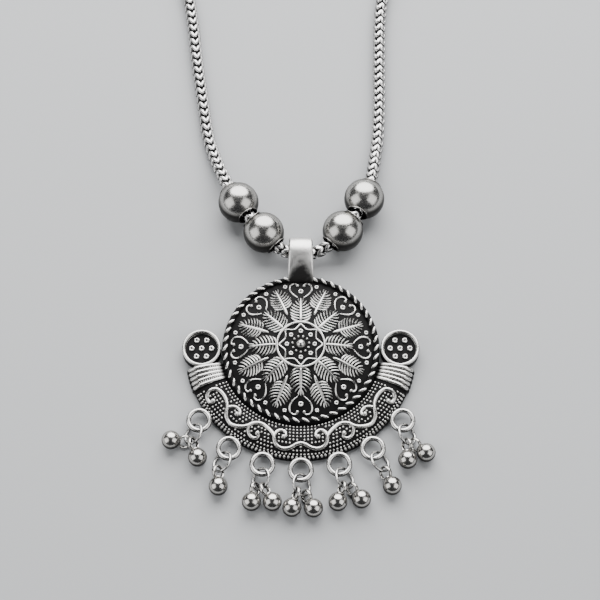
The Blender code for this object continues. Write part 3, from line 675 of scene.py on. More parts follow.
# %% [markdown]
# ## Hearts and dots
#
# Between each inner leaf and the rope lies a heart of two curled wires, with a dot inside
# it and one on each side. A formula could draw an even spiral, but this curl opens out
# unevenly, so its points are listed one by one. Mirrored, it makes the heart, and its wire
# starts thin at the heart's point.

# %% Hearts and dots
HEART_CURL = [
    # mm from the pendant's centre, mm from the heart's middle line
    (12.2, 0.7), (12.9, 1.6), (13.8, 2.35), (14.8, 2.62),
    (15.7, 2.35), (16.2, 1.65), (16.1, 1.0), (15.6, 0.78)]
HEART_WIRE_RADIUS = 0.00021
HEART_DOT = (0.0139, 0.00062)
CURL_BALL_RADIUS = 0.00042
SIDE_DOT = (0.0157, 13.7, 0.0005)
DOT_LIFT = 0.00014

bm = bmesh.new()
for k in range(PETAL_COUNT):
    angle = 45 * k
    outwards, sideways = directions(angle)
    for side in (-1, 1):
        curl = [on_dome((outwards * far + sideways * (side * aside)) * MM, RELIEF_LIFT)
                for far, aside in HEART_CURL]
        curl = smooth_path(curl, 0.0003)
        radii = [HEART_WIRE_RADIUS * (0.55 + 0.45 * smoothstep(0, 0.35, i / len(curl)))
                 for i in range(len(curl))]
        add_wire(bm, curl, radii, 8)
        add_ball(bm, curl[-1], CURL_BALL_RADIUS, 10, 8)
        far, spread, radius = SIDE_DOT
        add_dimpled_dot(bm, on_dome(polar(far, angle + side * spread), DOT_LIFT), radius)
    far, radius = HEART_DOT
    add_dimpled_dot(bm, on_dome(polar(far, angle), DOT_LIFT), radius)
finish_casting("hearts", bm, worn_above(dome_height, 0.00002, 0.00022))

# %% [markdown]
# ## The crescent
#
# The crescent is a curved strip, highest along a crest, that holds the disc like a
# cradle. A flat plate could be cut out and then arched, but a section spun through 136
# degrees gives both at once, and only the open ends are left to fill. Its height is again
# a function, because granules, wire and collars stand on it.

# %% The crescent
BAND_INNER_RADIUS = 0.0186
BAND_WIDTH = 0.0081
BAND_HALF_ANGLE = 68.0
BAND_CREST_SHARE = 0.48
BAND_CREST_HEIGHT = 0.0029
BAND_INNER_HEIGHT = 0.002
BAND_OUTER_HEIGHT = 0.0014
BAND_BACK_HEIGHT = 0.0003
BAND_OVERLAP = 0.0005


def band_height(radius):
    """Height of the crescent's top at a radius from the pendant's centre."""
    share = (radius - BAND_INNER_RADIUS) / BAND_WIDTH
    if share < BAND_CREST_SHARE:
        edge = BAND_INNER_HEIGHT
        away = 1 - share / BAND_CREST_SHARE
    else:
        edge = BAND_OUTER_HEIGHT
        away = (share - BAND_CREST_SHARE) / (1 - BAND_CREST_SHARE)
    return BAND_CREST_HEIGHT + (edge - BAND_CREST_HEIGHT) * away**2


def on_band(radius, angle, lift=0.0):
    return polar(radius, angle, band_height(radius) + lift)


bm = bmesh.new()
inside = BAND_INNER_RADIUS - BAND_OVERLAP
outside = BAND_INNER_RADIUS + BAND_WIDTH
section = [(inside, BAND_BACK_HEIGHT), (inside, BAND_INNER_HEIGHT / 2)]
for share in (0.02, 0.12, 0.24, 0.36, 0.48, 0.6, 0.72, 0.84, 0.93, 0.98):
    radius = BAND_INNER_RADIUS + BAND_WIDTH * share
    section.append((radius, band_height(radius)))
section += [(outside, BAND_OUTER_HEIGHT * 0.72), (outside, BAND_OUTER_HEIGHT * 0.4),
            (BAND_INNER_RADIUS + 0.95 * BAND_WIDTH, BAND_BACK_HEIGHT)]
verts, edges = add_line(bm, [polar(radius, -BAND_HALF_ANGLE, height)
                             for radius, height in section])
end = bmesh.ops.spin(bm, geom=verts + edges, cent=(0, 0, 0), axis=(0, 0, 1),
                     angle=radians(2 * BAND_HALF_ANGLE), steps=68)["geom_last"]
end_edges = [item for item in end if isinstance(item, bmesh.types.BMEdge)]
bmesh.ops.holes_fill(bm, edges=edges + end_edges, sides=len(section))
finish_casting("crescent", bm, all_black)

# %% [markdown]
# ## The scroll
#
# A wire of nearly one millimetre runs in waves along the crescent, with a short curl in
# each hollow and a small ball at each end. A sine would make the waves too even, so the
# points of one half are listed, as the angle from straight down and the distance from the
# centre. The other half mirrors it.

# %% The scroll
SCROLL_WIRE_RADIUS = 0.00046
SCROLL_LINE = [
    (57.2, 23.9), (57.6, 24.7), (60.5, 24.7), (62.7, 24.1), (63.5, 23.1), (62.6, 21.9),
    (60.0, 21.3), (56.3, 21.1), (52.7, 21.4), (49.6, 22.1), (47.9, 22.9), (46.1, 23.7),
    (43.8, 24.2), (40.8, 24.4), (37.5, 23.9), (34.6, 23.2), (32.6, 22.4), (31.3, 21.5),
    (28.7, 20.7), (25.2, 20.4), (21.8, 20.7), (18.5, 21.3), (16.3, 22.0), (15.3, 22.9),
    (14.0, 23.8), (11.6, 24.4), (8.5, 24.5), (5.5, 24.1), (2.5, 23.3), (0.0, 23.0)]
SCROLL_BRANCHES = [
    [(49.0, 22.1), (48.0, 21.4), (45.9, 20.7), (43.0, 20.6), (41.2, 21.0),
     (41.1, 21.6), (42.3, 21.8)],
    [(32.3, 22.3), (31.3, 23.2), (29.3, 24.0), (27.0, 24.3), (24.9, 24.0),
     (24.4, 23.3), (25.5, 22.9)],
    [(15.8, 21.9), (15.4, 21.1), (13.6, 20.5), (11.3, 20.4), (9.4, 20.9),
     (9.2, 21.6), (10.4, 21.9)]]
CURL_END_RADIUS = 0.0006
BRANCH_THICKNESS = 0.88

scroll_points = []
bm = bmesh.new()
for side in (-1, 1):
    for number, table in enumerate([SCROLL_LINE, *SCROLL_BRANCHES]):
        line = smooth_path([on_band(radius * MM, side * angle, RELIEF_LIFT)
                            for angle, radius in table], 0.00035)
        scroll_points += line
        ball_end, thickness = (-1, BRANCH_THICKNESS) if number else (0, 1)
        add_wire(bm, line, [SCROLL_WIRE_RADIUS * thickness] * len(line), 10, flatness=0.95)
        add_ball(bm, line[ball_end] + UP * 0.00004, CURL_END_RADIUS, 14, 10)
finish_casting("scroll", bm, worn_above(band_height, 0.00002, 0.00038))

# %% [markdown]
# ## Granulation
#
# The crescent's ground is set with rows of tiny balls, and its rim with short bars that
# point outwards. A bumpy texture could stand for them, but each real ball has a bright
# top and a dark foot, so they are modelled, and left out where the scroll covers the
# ground. The foot is black oxide, and the darkening down each ball's sides is painted
# shade. There are hundreds of them, so each is a sphere of only a few dozen faces.

# %% Granulation
GRAIN_PITCH = 0.00084
GRAIN_RADIUS = 0.00028
GRAIN_ROWS = 9
GRAIN_ROW_PITCH = 0.00081
FIRST_ROW_RADIUS = 0.01905
SCROLL_CLEARANCE = 0.00074
GRAIN_HALF_ANGLE = 64.5
RIM_BAR_PITCH = 0.00096
RIM_BAR_LENGTH = 0.00075
RIM_BAR_WIDTH = 0.0006
RIM_BAR_RADIUS = 0.02615

bm = bmesh.new()
for row in range(GRAIN_ROWS):
    radius = FIRST_ROW_RADIUS + row * GRAIN_ROW_PITCH
    count = round(radians(GRAIN_HALF_ANGLE) * radius / GRAIN_PITCH)
    for k in range(-count, count + 1):
        place = on_band(radius, GRAIN_HALF_ANGLE * k / count, 0.00006)
        if all((place - other).length > SCROLL_CLEARANCE for other in scroll_points):
            wobble = noise.noise(place * 3000)
            add_ball(bm, place, GRAIN_RADIUS * (1 + 0.15 * wobble), 6, 5)
bar_count = round(radians(GRAIN_HALF_ANGLE) * RIM_BAR_RADIUS / RIM_BAR_PITCH)
for k in range(-bar_count, bar_count + 1):
    angle = GRAIN_HALF_ANGLE * k / bar_count
    add_bar(bm, on_band(RIM_BAR_RADIUS - RIM_BAR_LENGTH / 2, angle, 0.0),
            on_band(RIM_BAR_RADIUS + RIM_BAR_LENGTH / 2, angle, -0.0001),
            RIM_BAR_WIDTH, RIM_BAR_WIDTH * 0.9)
# Bright where the balls and bars face up and darker down their sides: painted shade, over the
# oxide at their feet.
finish_casting("granulation", bm, lit_on_top(0.0, 0.7))

# %% [markdown]
# ## The collars
#
# Each end of the crescent is wrapped with five coils of wire over a plain sleeve that
# stays black. One long helix could make the coils, but their backs lie hidden on the
# surface. So a coil is an arch across the band, and its wire gets wider with the distance
# from the middle. On the left collar small bars bridge the grooves and leave square
# holes.

# %% The collars
COLLAR_BACK_HEIGHT = 0.00015
COLLAR_COILS = 5
COLLAR_START = 67.0
COLLAR_END = 79.49
COLLAR_HEIGHT = 0.0034
COLLAR_ARCH = [(-0.10, 0.0), (-0.09, 0.36), (-0.04, 0.62), (0.09, 0.84), (0.28, 0.96),
               (0.48, 1.0), (0.68, 0.97), (0.86, 0.86), (0.98, 0.60), (1.02, 0.30),
               (1.03, 0.0)]
COIL_SHARE = 0.84
COIL_FLATNESS = 0.66
SLEEVE_SINK = 0.0004
COIL_SINK = 0.00022
# groove of the left collar, and the shares of the band's width that its bars fill
GROOVE_BARS = {0: (0.10, 0.36), 1: (0.10, 0.42), 2: (0.10, 0.48), 3: (0.10, 0.84)}
GROOVE_BAR_STEP = 0.062
GROOVE_BAR_WIDTH = 0.00024

coil_angle = (COLLAR_END - COLLAR_START) / COLLAR_COILS


def collar_point(angle, share, rise, sink=0.0):
    radius = BAND_INNER_RADIUS + share * BAND_WIDTH - sink * (2 * share - 1)
    height = COLLAR_BACK_HEIGHT + (COLLAR_HEIGHT - sink - COLLAR_BACK_HEIGHT) * rise
    return polar(radius, angle, height)


bm = bmesh.new()
for side in (-1, 1):
    arches = []
    for k in range(COLLAR_COILS + 1):
        angle = side * (COLLAR_START + coil_angle * k)
        arches.append(add_line(bm, [collar_point(angle, share, rise, SLEEVE_SINK)
                                    for share, rise in COLLAR_ARCH])[1])
    for near, far in zip(arches, arches[1:]):
        bmesh.ops.bridge_loops(bm, edges=near + far)
    bmesh.ops.holes_fill(bm, edges=arches[0] + arches[-1], sides=len(COLLAR_ARCH))
finish_casting("collar_sleeves", bm, all_black)

bm = bmesh.new()
for side in (-1, 1):
    for k in range(COLLAR_COILS):
        angle = side * (COLLAR_START + coil_angle * (k + 0.55))
        arch = smooth_path([collar_point(angle, share, rise, COIL_SINK)
                            for share, rise in COLLAR_ARCH], 0.00035)
        middle = polar(BAND_INNER_RADIUS + BAND_WIDTH / 2, angle, 0)
        radii = [radians(coil_angle) * hypot(point.x, point.y) / 2 * COIL_SHARE
                 for point in arch]
        add_wire(bm, arch, radii, 12, up=lambda point: (point - middle).normalized(),
                 flatness=COIL_FLATNESS)
for groove, (first, last) in GROOVE_BARS.items():
    angle = COLLAR_END - coil_angle * (groove + 0.95)
    for k in range(int((last - first) / GROOVE_BAR_STEP) + 1):
        share = first + GROOVE_BAR_STEP * k
        ends = [collar_point(-angle + shift, share, read_table(COLLAR_ARCH, share), 0.0001)
                for shift in (-0.45, 0.45)]
        add_bar(bm, *ends, GROOVE_BAR_WIDTH, GROOVE_BAR_WIDTH)
# Bright on the coils' tops and black low down, which is oxide. Darker on the coils' sides and
# fading to black towards the band's inner end, which is painted shade.
finish_casting("collars", bm, lambda place, normal: smoothstep(0.1, 0.6, normal.z)
               * smoothstep(0.0012, 0.0028, place.z)
               * smoothstep(BAND_INNER_RADIUS - 0.0008, BAND_INNER_RADIUS + 0.0022,
                            hypot(place.x, place.y)))

# %% [markdown]
# ## The round ends
#
# Above each collar sits a shallow round cup with a wire rim and seven dimpled dots, one
# in the middle and six round it. A disc could be inset and pushed down, but a spun
# profile makes the rounded rim as well. The dots come from the same helper as before.

# %% The round ends
CUP_RADIUS = 0.00455
CUP_DISTANCE = 0.0231
CUP_FLOOR = 0.0023
CUP_HEIGHT = 0.0033
CUP_RIM = 0.0008
CUP_DOT_RADIUS = 0.00066
CUP_DOT_CIRCLE = 0.0023
CUP_DOTS_ROUND = 6

rim_radius = CUP_RIM / 2
profile = [(0, 0), (CUP_RADIUS - EDGE_ROUNDING, 0), (CUP_RADIUS, EDGE_ROUNDING),
           (CUP_RADIUS, CUP_HEIGHT - rim_radius)]
profile += arc(CUP_RADIUS - rim_radius, CUP_HEIGHT - rim_radius, rim_radius,
               range(15, 181, 15))
profile += [(CUP_RADIUS - CUP_RIM, CUP_FLOOR + 0.0001),
            (CUP_RADIUS - CUP_RIM - 0.0001, CUP_FLOOR),
            (0, CUP_FLOOR)]
bm = bmesh.new()
for side in (-1, 1):
    middle = Vector((side * CUP_DISTANCE, 0, 0))
    verts = spin_profile(bm, profile, 64)
    bmesh.ops.translate(bm, vec=middle, verts=verts)
    places = [Vector((0, 0, 0))] + [polar(CUP_DOT_CIRCLE, 90 + 60 * k)
                                    for k in range(CUP_DOTS_ROUND)]
    for place in places:
        add_dimpled_dot(bm, middle + place + UP * (CUP_FLOOR + 0.0002), CUP_DOT_RADIUS)
# Black on the cup's floor, which is oxide. On the rim and the dots, darker where they turn away
# from the top light, which is painted shade.
finish_casting("round_ends", bm, lambda place, normal:
               smoothstep(CUP_FLOOR, CUP_FLOOR + 0.0001, place.z)
               * smoothstep(0.05, 0.5, normal.z))

# %% [markdown]
# ## The rim loops
#
# Seven loops of thick wire are cast on the crescent's rim. The bmesh operators have no
# torus, so each is a small circle spun round an axis. Their table also says how the link
# and the drops of each loop lie, and later cells read it again.

# %% The rim loops
LOOP_CENTRE_RADIUS = 0.029
LOOP_RADIUS = 0.0024
LOOP_WIRE_RADIUS = 0.00056
LOOP_HEIGHT = 0.00185
CLUSTERS = [
    # angle of the loop, swing of its link, side of the link that is up, drops on it:
    # seat on the link, turn from the link's direction, slack as a share of the eye
    (-53.5, 34, 1, [(-30, -74, 0.28), (25, 38, 0.14)]),
    (-34.4, 10, 1, [(5, 26, 0.14)]),
    (-17.5, 12, 1, [(-35, -8, 0.20), (30, 38, 0.34)]),
    (0.0, 3, -1, [(-40, -22, 0.28), (25, 26, 0.34)]),
    (17.5, 2, -1, [(-40, -38, 0.28), (20, 20, 0.40)]),
    (34.4, -8, -1, [(-5, 0, 0.40)]),
    (53.5, -38, -1, [(-25, -14, 0.34), (25, 34, 0.44)])]

bm = bmesh.new()
for angle, *_ in CLUSTERS:
    add_ring(bm, LOOP_RADIUS, LOOP_WIRE_RADIUS, 40, 16,
             Matrix.Translation(polar(LOOP_CENTRE_RADIUS, angle, LOOP_HEIGHT)))
# Bright along each loop's top and darker down its sides: painted shade.
finish_casting("rim_loops", bm, lit_on_top(0.30, 0.85), wire_silver)

# %% [markdown]
# ## The bail
#
# The bail is the flat loop at the top that the chain runs through. Seen from the side it
# is a rounded wedge with an oval hole. A bent strap would have one thickness all the way
# round, and this casting hasn't. So two loops of points get a face bridged between them,
# which is extruded across the width and bevelled. Cuts across the width then give it
# points enough for a slight bulge.

# %% The bail
BAIL_START = 0.0168
BAIL_END = 0.0275
BAIL_WIDTH = 0.0058
BAIL_TOP = 0.0068
BAIL_BACK_HEIGHT = 0.0002
BAIL_HOLE_LENGTH = 0.0046
BAIL_HOLE_HEIGHT = 0.004
BAIL_WALL = 0.0015
BAIL_EDGE = 0.0006
BAIL_CUTS = 12
BAIL_BULGE = 0.0004
BAIL_OUTLINE = [(0.0, 0.44), (0.07, 0.56), (0.20, 0.71), (0.45, 0.93), (0.70, 1.0),
                (0.90, 0.87), (1.0, 0.58), (0.96, 0.28), (0.80, 0.07), (0.35, 0.0),
                (0.05, 0.0)]
BAIL_POINTS = 48
BAIL_DARK_END = 0.0172
BAIL_DARK_DIP = 0.0034
BAIL_DARK_FADE = 0.0068
BAIL_FOOT_WEAR = 0.22

length = BAIL_END - BAIL_START
height = BAIL_TOP - BAIL_BACK_HEIGHT
side_x = -BAIL_WIDTH / 2
outline = [Vector((side_x, BAIL_START + length * along, BAIL_BACK_HEIGHT + height * up))
           for along, up in BAIL_OUTLINE]
outline = smooth_path(outline, 0.0006, closed=True)
hole_middle = Vector((side_x, BAIL_END - BAIL_WALL - BAIL_HOLE_LENGTH / 2,
                      BAIL_TOP - BAIL_WALL - BAIL_HOLE_HEIGHT / 2))
hole = [hole_middle + Vector((0, BAIL_HOLE_LENGTH / 2 * cos(2 * pi * k / BAIL_POINTS),
                              BAIL_HOLE_HEIGHT / 2 * sin(2 * pi * k / BAIL_POINTS)))
        for k in range(BAIL_POINTS)]
bm = bmesh.new()
rim_edges = add_line(bm, outline)[1] + add_line(bm, hole)[1]
side_faces = bmesh.ops.bridge_loops(bm, edges=rim_edges)["faces"]
other = bmesh.ops.extrude_face_region(bm, geom=side_faces)["geom"]
bmesh.ops.translate(bm, vec=(BAIL_WIDTH, 0, 0),
                    verts=[item for item in other if isinstance(item, bmesh.types.BMVert)])
bmesh.ops.recalc_face_normals(bm, faces=bm.faces)
rim_edges = [edge for edge in bm.edges if edge.calc_face_angle(0) > radians(60)]
bmesh.ops.bevel(bm, geom=rim_edges, offset=BAIL_EDGE, offset_type="OFFSET", affect="EDGES",
                segments=4, profile=0.5, material=-1, clamp_overlap=True)
for k in range(1, BAIL_CUTS):
    bmesh.ops.bisect_plane(bm, geom=bm.verts[:] + bm.edges[:] + bm.faces[:],
                           plane_co=(side_x + BAIL_WIDTH * k / BAIL_CUTS, 0, 0),
                           plane_no=(1, 0, 0))
for vert in bm.verts:
    aside = abs(vert.co.x) / (BAIL_WIDTH / 2)
    vert.co.z += BAIL_BULGE * (1 - aside**2) * smoothstep(0.45, 1.0, vert.co.z / BAIL_TOP)
    vert.co.x *= 1.06 - 0.12 * (vert.co.y - BAIL_START) / length


def bail_wear(place, normal):
    """Bright on top and along the edges, dark where the foot meets the dome."""
    aside = min(abs(place.x) / (BAIL_WIDTH / 2), 1)
    dark_end = BAIL_DARK_END - BAIL_DARK_DIP * aside**2
    bright_share = smoothstep(dark_end, dark_end + BAIL_DARK_FADE, place.y) ** 2
    return BAIL_FOOT_WEAR + (1 - BAIL_FOOT_WEAR) * bright_share


finish_casting("bail", bm, bail_wear, brushed_silver)

# %% [markdown]
# ## The chain's route
#
# The chain climbs a little from the bail to pass through the beads at half their height,
# and lies flat after them. It could be dropped on the floor in a simulation, but it has
# to lie as in the imported model. So its route is a given list of points for each side,
# with one smooth curve through them, and the two halves are joined at the bail.

# %% The chain's route
CHAIN_RADIUS = 0.00155
CHAIN_FLOOR_GAP = 0.00005
BEAD_RADIUS = 0.00485
CLASP_RADIUS = 0.0024
CLASP_LENGTH = 0.016
SOCKET_DEPTH = 0.003
CLASP_CLEARANCE = 0.0004
CLASP_PLACE = (0.0, 0.2475)
CLASP_APPROACH = 0.005
# x and y in mm, and the first points' lift as a share of the lift inside the beads
ROUTE_LIFTS = [0.48, 0.58, 1.06, 1.00, 0.50, 0.18]
BAIL_ON_ROUTE = (0.0, 23.4)
LEFT_ROUTE = [
    (-4.7, 24.9), (-9.2, 28.9), (-15.5, 37.2), (-19.1, 44.7), (-20.9, 49.5),
    (-22.7, 55.2), (-24.5, 66.4), (-26.2, 77.9), (-28.4, 94.1), (-33.0, 113.0),
    (-43.0, 136.0), (-55.0, 158.0), (-64.0, 180.0), (-66.0, 203.0), (-58.0, 225.0),
    (-40.0, 240.0)]
RIGHT_ROUTE = [
    (4.9, 24.7), (10.5, 29.3), (15.8, 38.4), (17.7, 46.3), (18.3, 50.4),
    (19.0, 55.2), (19.6, 66.4), (19.8, 77.9), (20.7, 94.1), (25.0, 113.0),
    (36.0, 136.0), (50.0, 158.0), (61.0, 180.0), (65.0, 203.0), (58.0, 225.0),
    (40.0, 240.0)]


def chain_side(route, side):
    floor_height = CHAIN_RADIUS + CHAIN_FLOOR_GAP
    lifts = ROUTE_LIFTS + [0] * len(route)
    points = [(x * MM, y * MM, floor_height + lift * (BEAD_RADIUS - floor_height))
              for (x, y), lift in zip([BAIL_ON_ROUTE, *route], lifts)]
    x, y = CLASP_PLACE
    mouth = x + side * (CLASP_LENGTH / 2)
    bottom = mouth - side * (SOCKET_DEPTH - CLASP_CLEARANCE)
    points += [(mouth + side * CLASP_APPROACH, y, CLASP_RADIUS), (bottom, y, CLASP_RADIUS)]
    return smooth_path(points, CHAIN_RADIUS / 4)


left_side = chain_side(LEFT_ROUTE, -1)
right_side = chain_side(RIGHT_ROUTE, 1)
chain_line = left_side[::-1] + right_side[1:]
chain_lengths = running_lengths(chain_line)
bail_station = running_lengths(left_side)[-1]
print("chain length", round(chain_lengths[-1], 4), "m")

# %% [markdown]
# ## The woven chain
#
# Up close the chain is a tube of plaited loops that shows columns of V shapes from any
# side. The loops could be threaded one by one, but only their arms would show. So eight
# rows of leaning grains give four such columns. Each grain is a stretched sphere of few
# faces, since there are over two thousand, and a core painted black fills the gaps, where
# the inside of the weave lies in shade.

# %% The woven chain
WEAVE_PITCH = 0.00205
WEAVE_COLUMNS = 8
WEAVE_LEAN = 29.0
ARM_LENGTH = 0.00245
ARM_WIDTH = 0.00097
ARM_THICKNESS = 0.00078
ARM_CENTRE_RADIUS = 0.00119
CORE_RADIUS = 0.00098
CHAIN_ROLL = 8.0
FRAME_STEP = 0.0006


def chain_frame(station):
    """Across, up and along the chain at a distance from its left end, and the place."""
    ends = (max(station - FRAME_STEP, 0), station,
            min(station + FRAME_STEP, chain_lengths[-1]))
    before, place, after = [point_along(chain_line, chain_lengths, end) for end in ends]
    along = (after - before).normalized()
    across = along.cross(UP).normalized()
    return across, across.cross(along), along, place


bm = bmesh.new()
core_path = smooth_path([chain_frame(chain_lengths[-1] * k / 260)[3] for k in range(261)],
                        0.0022)
add_wire(bm, core_path, [CORE_RADIUS] * len(core_path), 12)
# The core is painted black all over, as painted shade inside the weave.
finish_piece("chain_core", bm, chain_silver, all_black, "chain")

bm = bmesh.new()
rows = int((chain_lengths[-1] - 2 * SOCKET_DEPTH) / WEAVE_PITCH)
margin = (chain_lengths[-1] - rows * WEAVE_PITCH) / 2
arm_size = Matrix.Diagonal((ARM_WIDTH / 2, ARM_THICKNESS / 2, ARM_LENGTH / 2, 1))
for row in range(rows):
    station = margin + (row + 0.5) * WEAVE_PITCH
    across, upwards, along, place = chain_frame(station)
    roll = CHAIN_ROLL * (1 if station > bail_station else -1)
    for column in range(WEAVE_COLUMNS):
        around = radians(22.5 + 45 * column + roll)
        outwards = across * sin(around) + upwards * cos(around)
        sideways = along.cross(outwards)
        lean = radians(WEAVE_LEAN) * (1 if column % 2 else -1)
        direction = along * cos(lean) + sideways * sin(lean)
        matrix = placed(direction.cross(outwards) * -1, outwards, direction,
                        place + outwards * ARM_CENTRE_RADIUS) @ arm_size
        stamp_ball(bm, 8, 5, matrix)
# The grains are bright where they face up and darker down their sides: painted shade.
finish_piece("chain_weave", bm, chain_silver, lit_on_top(0.0, 0.75), "chain")

# %% [markdown]
# ## The hollow beads
#
# The four beads are hollow and drilled, with a thin lip round each hole. The holes could
# be cut with a cylinder, but that leaves ragged faces round them. So wall and lips are
# one closed profile, spun round the bead's axis and turned to the way that the chain
# runs.

# %% The hollow beads
BEAD_WALL = 0.0006
BEAD_BORE_RADIUS = 0.0023
BEAD_LIP_RADIUS = 0.00016
BEAD_GAP = 0.0004
BAIL_TO_LEFT_BEAD = 0.0107
BAIL_TO_RIGHT_BEAD = 0.012


def half_circle(radius, start, count):
    """Points on a half circle about the axis, with a hole's angle cut off both ends."""
    turns = [start + (pi - 2 * start) * k / count for k in range(count + 1)]
    return [(radius * sin(turn), radius * cos(turn)) for turn in turns]


def bead_profile():
    start = 1.07 * asin(BEAD_BORE_RADIUS / BEAD_RADIUS)
    inner_radius = BEAD_RADIUS - BEAD_WALL
    inner_start = asin(BEAD_BORE_RADIUS / inner_radius)
    lip = arc(BEAD_BORE_RADIUS + BEAD_LIP_RADIUS,
              BEAD_RADIUS * cos(start) + BEAD_LIP_RADIUS * 0.6, BEAD_LIP_RADIUS,
              range(180, -31, -30))
    other_lip = [(radius, -height) for radius, height in lip[::-1]]
    return (lip + half_circle(BEAD_RADIUS, start, 40) + other_lip
            + half_circle(inner_radius, inner_start, 24)[::-1])


def add_bead(name, line, distance):
    lengths = running_lengths(line)
    reach = 0.8 * BEAD_RADIUS
    before, middle, after = [point_along(line, lengths, distance + shift)
                             for shift in (-reach, 0, reach)]
    place = (before + 2 * middle + after) / 4
    place.z = BEAD_RADIUS
    bm = bmesh.new()
    verts = spin_profile(bm, bead_profile(), 56, closed=True)
    turn = (after - before).to_track_quat("Z", "Y").to_matrix().to_4x4()

    def wear_and_shade(point, normal):
        """Black inside, and on the outside painted shade where the bead turns down to the
        surface.
        """
        outside = smoothstep(-0.001, 0.003, (point - place).dot(normal))
        return outside * smoothstep(0.05, 0.85, normal.z)

    bmesh.ops.transform(bm, matrix=Matrix.Translation(place) @ turn, verts=verts)
    finish_piece("hollow_" + name, bm, bead_silver, wear_and_shade, name)


for side_name, line, first in (("left", left_side, BAIL_TO_LEFT_BEAD),
                               ("right", right_side, BAIL_TO_RIGHT_BEAD)):
    for number, place_name in enumerate(("lower", "upper")):
        add_bead(f"bead_{side_name}_{place_name}", line,
                 first + number * (2 * BEAD_RADIUS + BEAD_GAP))

# %% [markdown]
# ## Link rings
#
# A plain ring of thinner wire hangs from each rim loop, one side on the surface and the
# other up in the loop. Three angles could place it, but they are hard to follow once it
# leans two ways. So each gets a frame: its way out, its leaning side, and its axis.

# %% Link rings
LINK_RADIUS = 0.00245
LINK_WIRE_RADIUS = 0.00032
LINK_LEAN = 42.0
LINK_REACH = 0.0035
LINK_FLOOR_GAP = 0.00003
LINK_HEIGHT = LINK_RADIUS * sin(radians(LINK_LEAN)) + LINK_WIRE_RADIUS + LINK_FLOOR_GAP

link_frames = []
for number, (angle, swing, side_up, drops) in enumerate(CLUSTERS, 1):
    loop = polar(LOOP_CENTRE_RADIUS, angle, LINK_HEIGHT)
    way, beside = directions(angle + swing)
    lean = radians(LINK_LEAN) * side_up
    side = beside * cos(lean) + UP * sin(lean)
    matrix = placed(way, side, way.cross(side), loop + way * LINK_REACH)
    link_frames.append((number, way, matrix, drops))
    bm = bmesh.new()
    add_ring(bm, LINK_RADIUS, LINK_WIRE_RADIUS, 40, 12, matrix)
    # Bright along the ring's top and darker down its sides: painted shade.
    finish_piece(f"wire_link_{number}", bm, wire_silver,
                 lit_on_top(0.35, 0.85), f"link_{number}")

# %% [markdown]
# ## Drops
#
# Each drop is a polished ball with a small foot and an eye of flat strap that the link
# runs through. It leans back until its eye meets the link's wire. The lean of each could
# be tried out by hand, but there are twelve. The higher the eye, the steeper the drop, so
# its direction is worked out in a few rounds.

# %% Drops
DROP_RADIUS = 0.00215
EYE_RADIUS = 0.00145
EYE_WIRE_RADIUS = 0.00027
EYE_SUNK = 0.0001
EYE_FLOOR_GAP = 0.00005
EYE_DISTANCE = DROP_RADIUS + EYE_RADIUS - EYE_WIRE_RADIUS - EYE_SUNK
EYE_ROUNDS = 4
STRAP_SHARE = 1.7
FOOT_RADIUS = 0.00072
FOOT_WIRE_RADIUS = 0.00022


def drop_frame(link, way, seat, turn, slack):
    """Where a drop lies: X from the ball to the eye, Y through the eye's hole."""
    out, side, _, centre = (link.col[k].to_3d() for k in range(4))
    seat = radians(seat)
    wire = centre + (out * cos(seat) + side * sin(seat)) * LINK_RADIUS
    tangent = side * cos(seat) - out * sin(seat)
    heading = Matrix.Rotation(radians(turn), 3, "Z") @ way
    eye_height = wire.z
    for _ in range(EYE_ROUNDS):
        rise = eye_height - DROP_RADIUS
        flat = sqrt(EYE_DISTANCE**2 - rise**2)
        to_link = (UP * rise - heading * flat) / EYE_DISTANCE
        eye_up = tangent.cross(to_link).normalized()
        reach = EYE_RADIUS * hypot(to_link.z, eye_up.z) + EYE_WIRE_RADIUS + EYE_FLOOR_GAP
        eye_height = max(wire.z, reach)
    ball = wire + heading * (flat + slack * EYE_RADIUS)
    ball.z = DROP_RADIUS
    return placed(to_link, eye_up.cross(to_link), eye_up, ball)


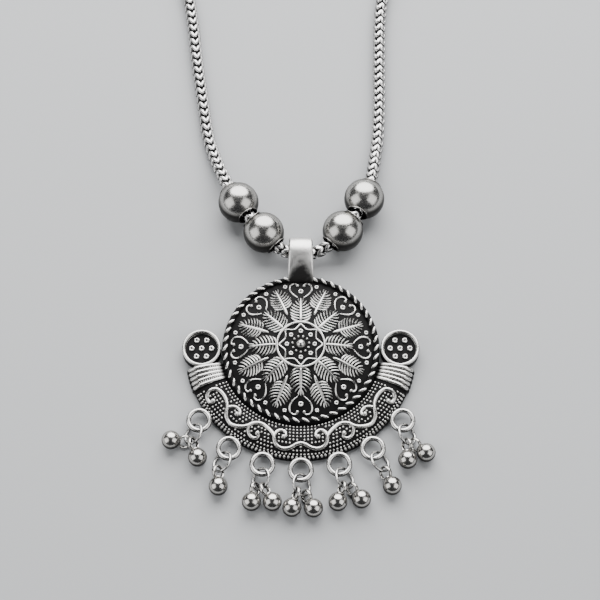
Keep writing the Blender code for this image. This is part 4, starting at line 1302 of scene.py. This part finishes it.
def add_drop(name, matrix):
    bm = bmesh.new()
    size = Matrix.Diagonal((DROP_RADIUS, DROP_RADIUS, DROP_RADIUS, 1))
    stamp_ball(bm, 48, 28, matrix @ size)
    eye_place = Matrix.Translation((EYE_DISTANCE, 0, 0)) @ Matrix.Rotation(pi / 2, 4, "X")
    add_ring(bm, EYE_RADIUS, EYE_WIRE_RADIUS, 32, 12, matrix @ eye_place, STRAP_SHARE)
    foot_place = (Matrix.Translation((sqrt(DROP_RADIUS**2 - FOOT_RADIUS**2), 0, 0))
                  @ Matrix.Rotation(pi / 2, 4, "Y"))
    add_ring(bm, FOOT_RADIUS, FOOT_WIRE_RADIUS, 20, 8, matrix @ foot_place)
    # The ball and its eye are bright where they face up and darker where they turn down:
    # painted shade.
    finish_piece("polished_" + name, bm, drop_silver, lit_on_top(0.0, 0.85),
                 name)


for number, way, link, drops in link_frames:
    for letter, (seat, turn, slack) in zip("ab", drops):
        add_drop(f"drop_{number}{letter}", drop_frame(link, way, seat, turn, slack))

# %% [markdown]
# ## The clasp
#
# The clasp lies outside the picture, where the ends of the chain meet. It is a plain
# barrel with a socket at each end and a few turned lines. The sockets could be cut out of
# a cylinder, but one spun profile has them, the lines and the rounded ends at once.

# %% The clasp
SOCKET_RADIUS = CHAIN_RADIUS + CLASP_CLEARANCE
CLASP_ROUNDING = 0.0006
CLASP_LINES = [0.0054, 0.0044, 0.0]
CLASP_LINE_SHAPE = [(0.00022, 0), (0.0001, 0.00022), (-0.0001, 0.00022), (-0.00022, 0)]

half = CLASP_LENGTH / 2
stations = arc(CLASP_RADIUS - CLASP_ROUNDING, half - CLASP_ROUNDING,
               CLASP_ROUNDING, range(90, -1, -18))
for line in CLASP_LINES:
    stations += [(CLASP_RADIUS - depth, line + shift) for shift, depth in CLASP_LINE_SHAPE
                 if line + shift > 0]
half_profile = [(0, half - SOCKET_DEPTH),
                (SOCKET_RADIUS, half - SOCKET_DEPTH),
                (SOCKET_RADIUS, half - 0.0002),
                (SOCKET_RADIUS + 0.0001, half)] + stations
profile = half_profile + [(radius, -height) for radius, height in half_profile[::-1]]
bm = bmesh.new()
verts = spin_profile(bm, profile, 48)
barrel = Matrix.Translation((*CLASP_PLACE, CLASP_RADIUS)) @ Matrix.Rotation(pi / 2, 4, "Y")
bmesh.ops.transform(bm, matrix=barrel, verts=verts)


def clasp_wear(place, normal):
    out = hypot(place.y - CLASP_PLACE[1], place.z - CLASP_RADIUS) / CLASP_RADIUS
    return smoothstep(0.88, 0.99, out)


finish_piece("barrel_clasp", bm, bead_silver, clasp_wear, "clasp")
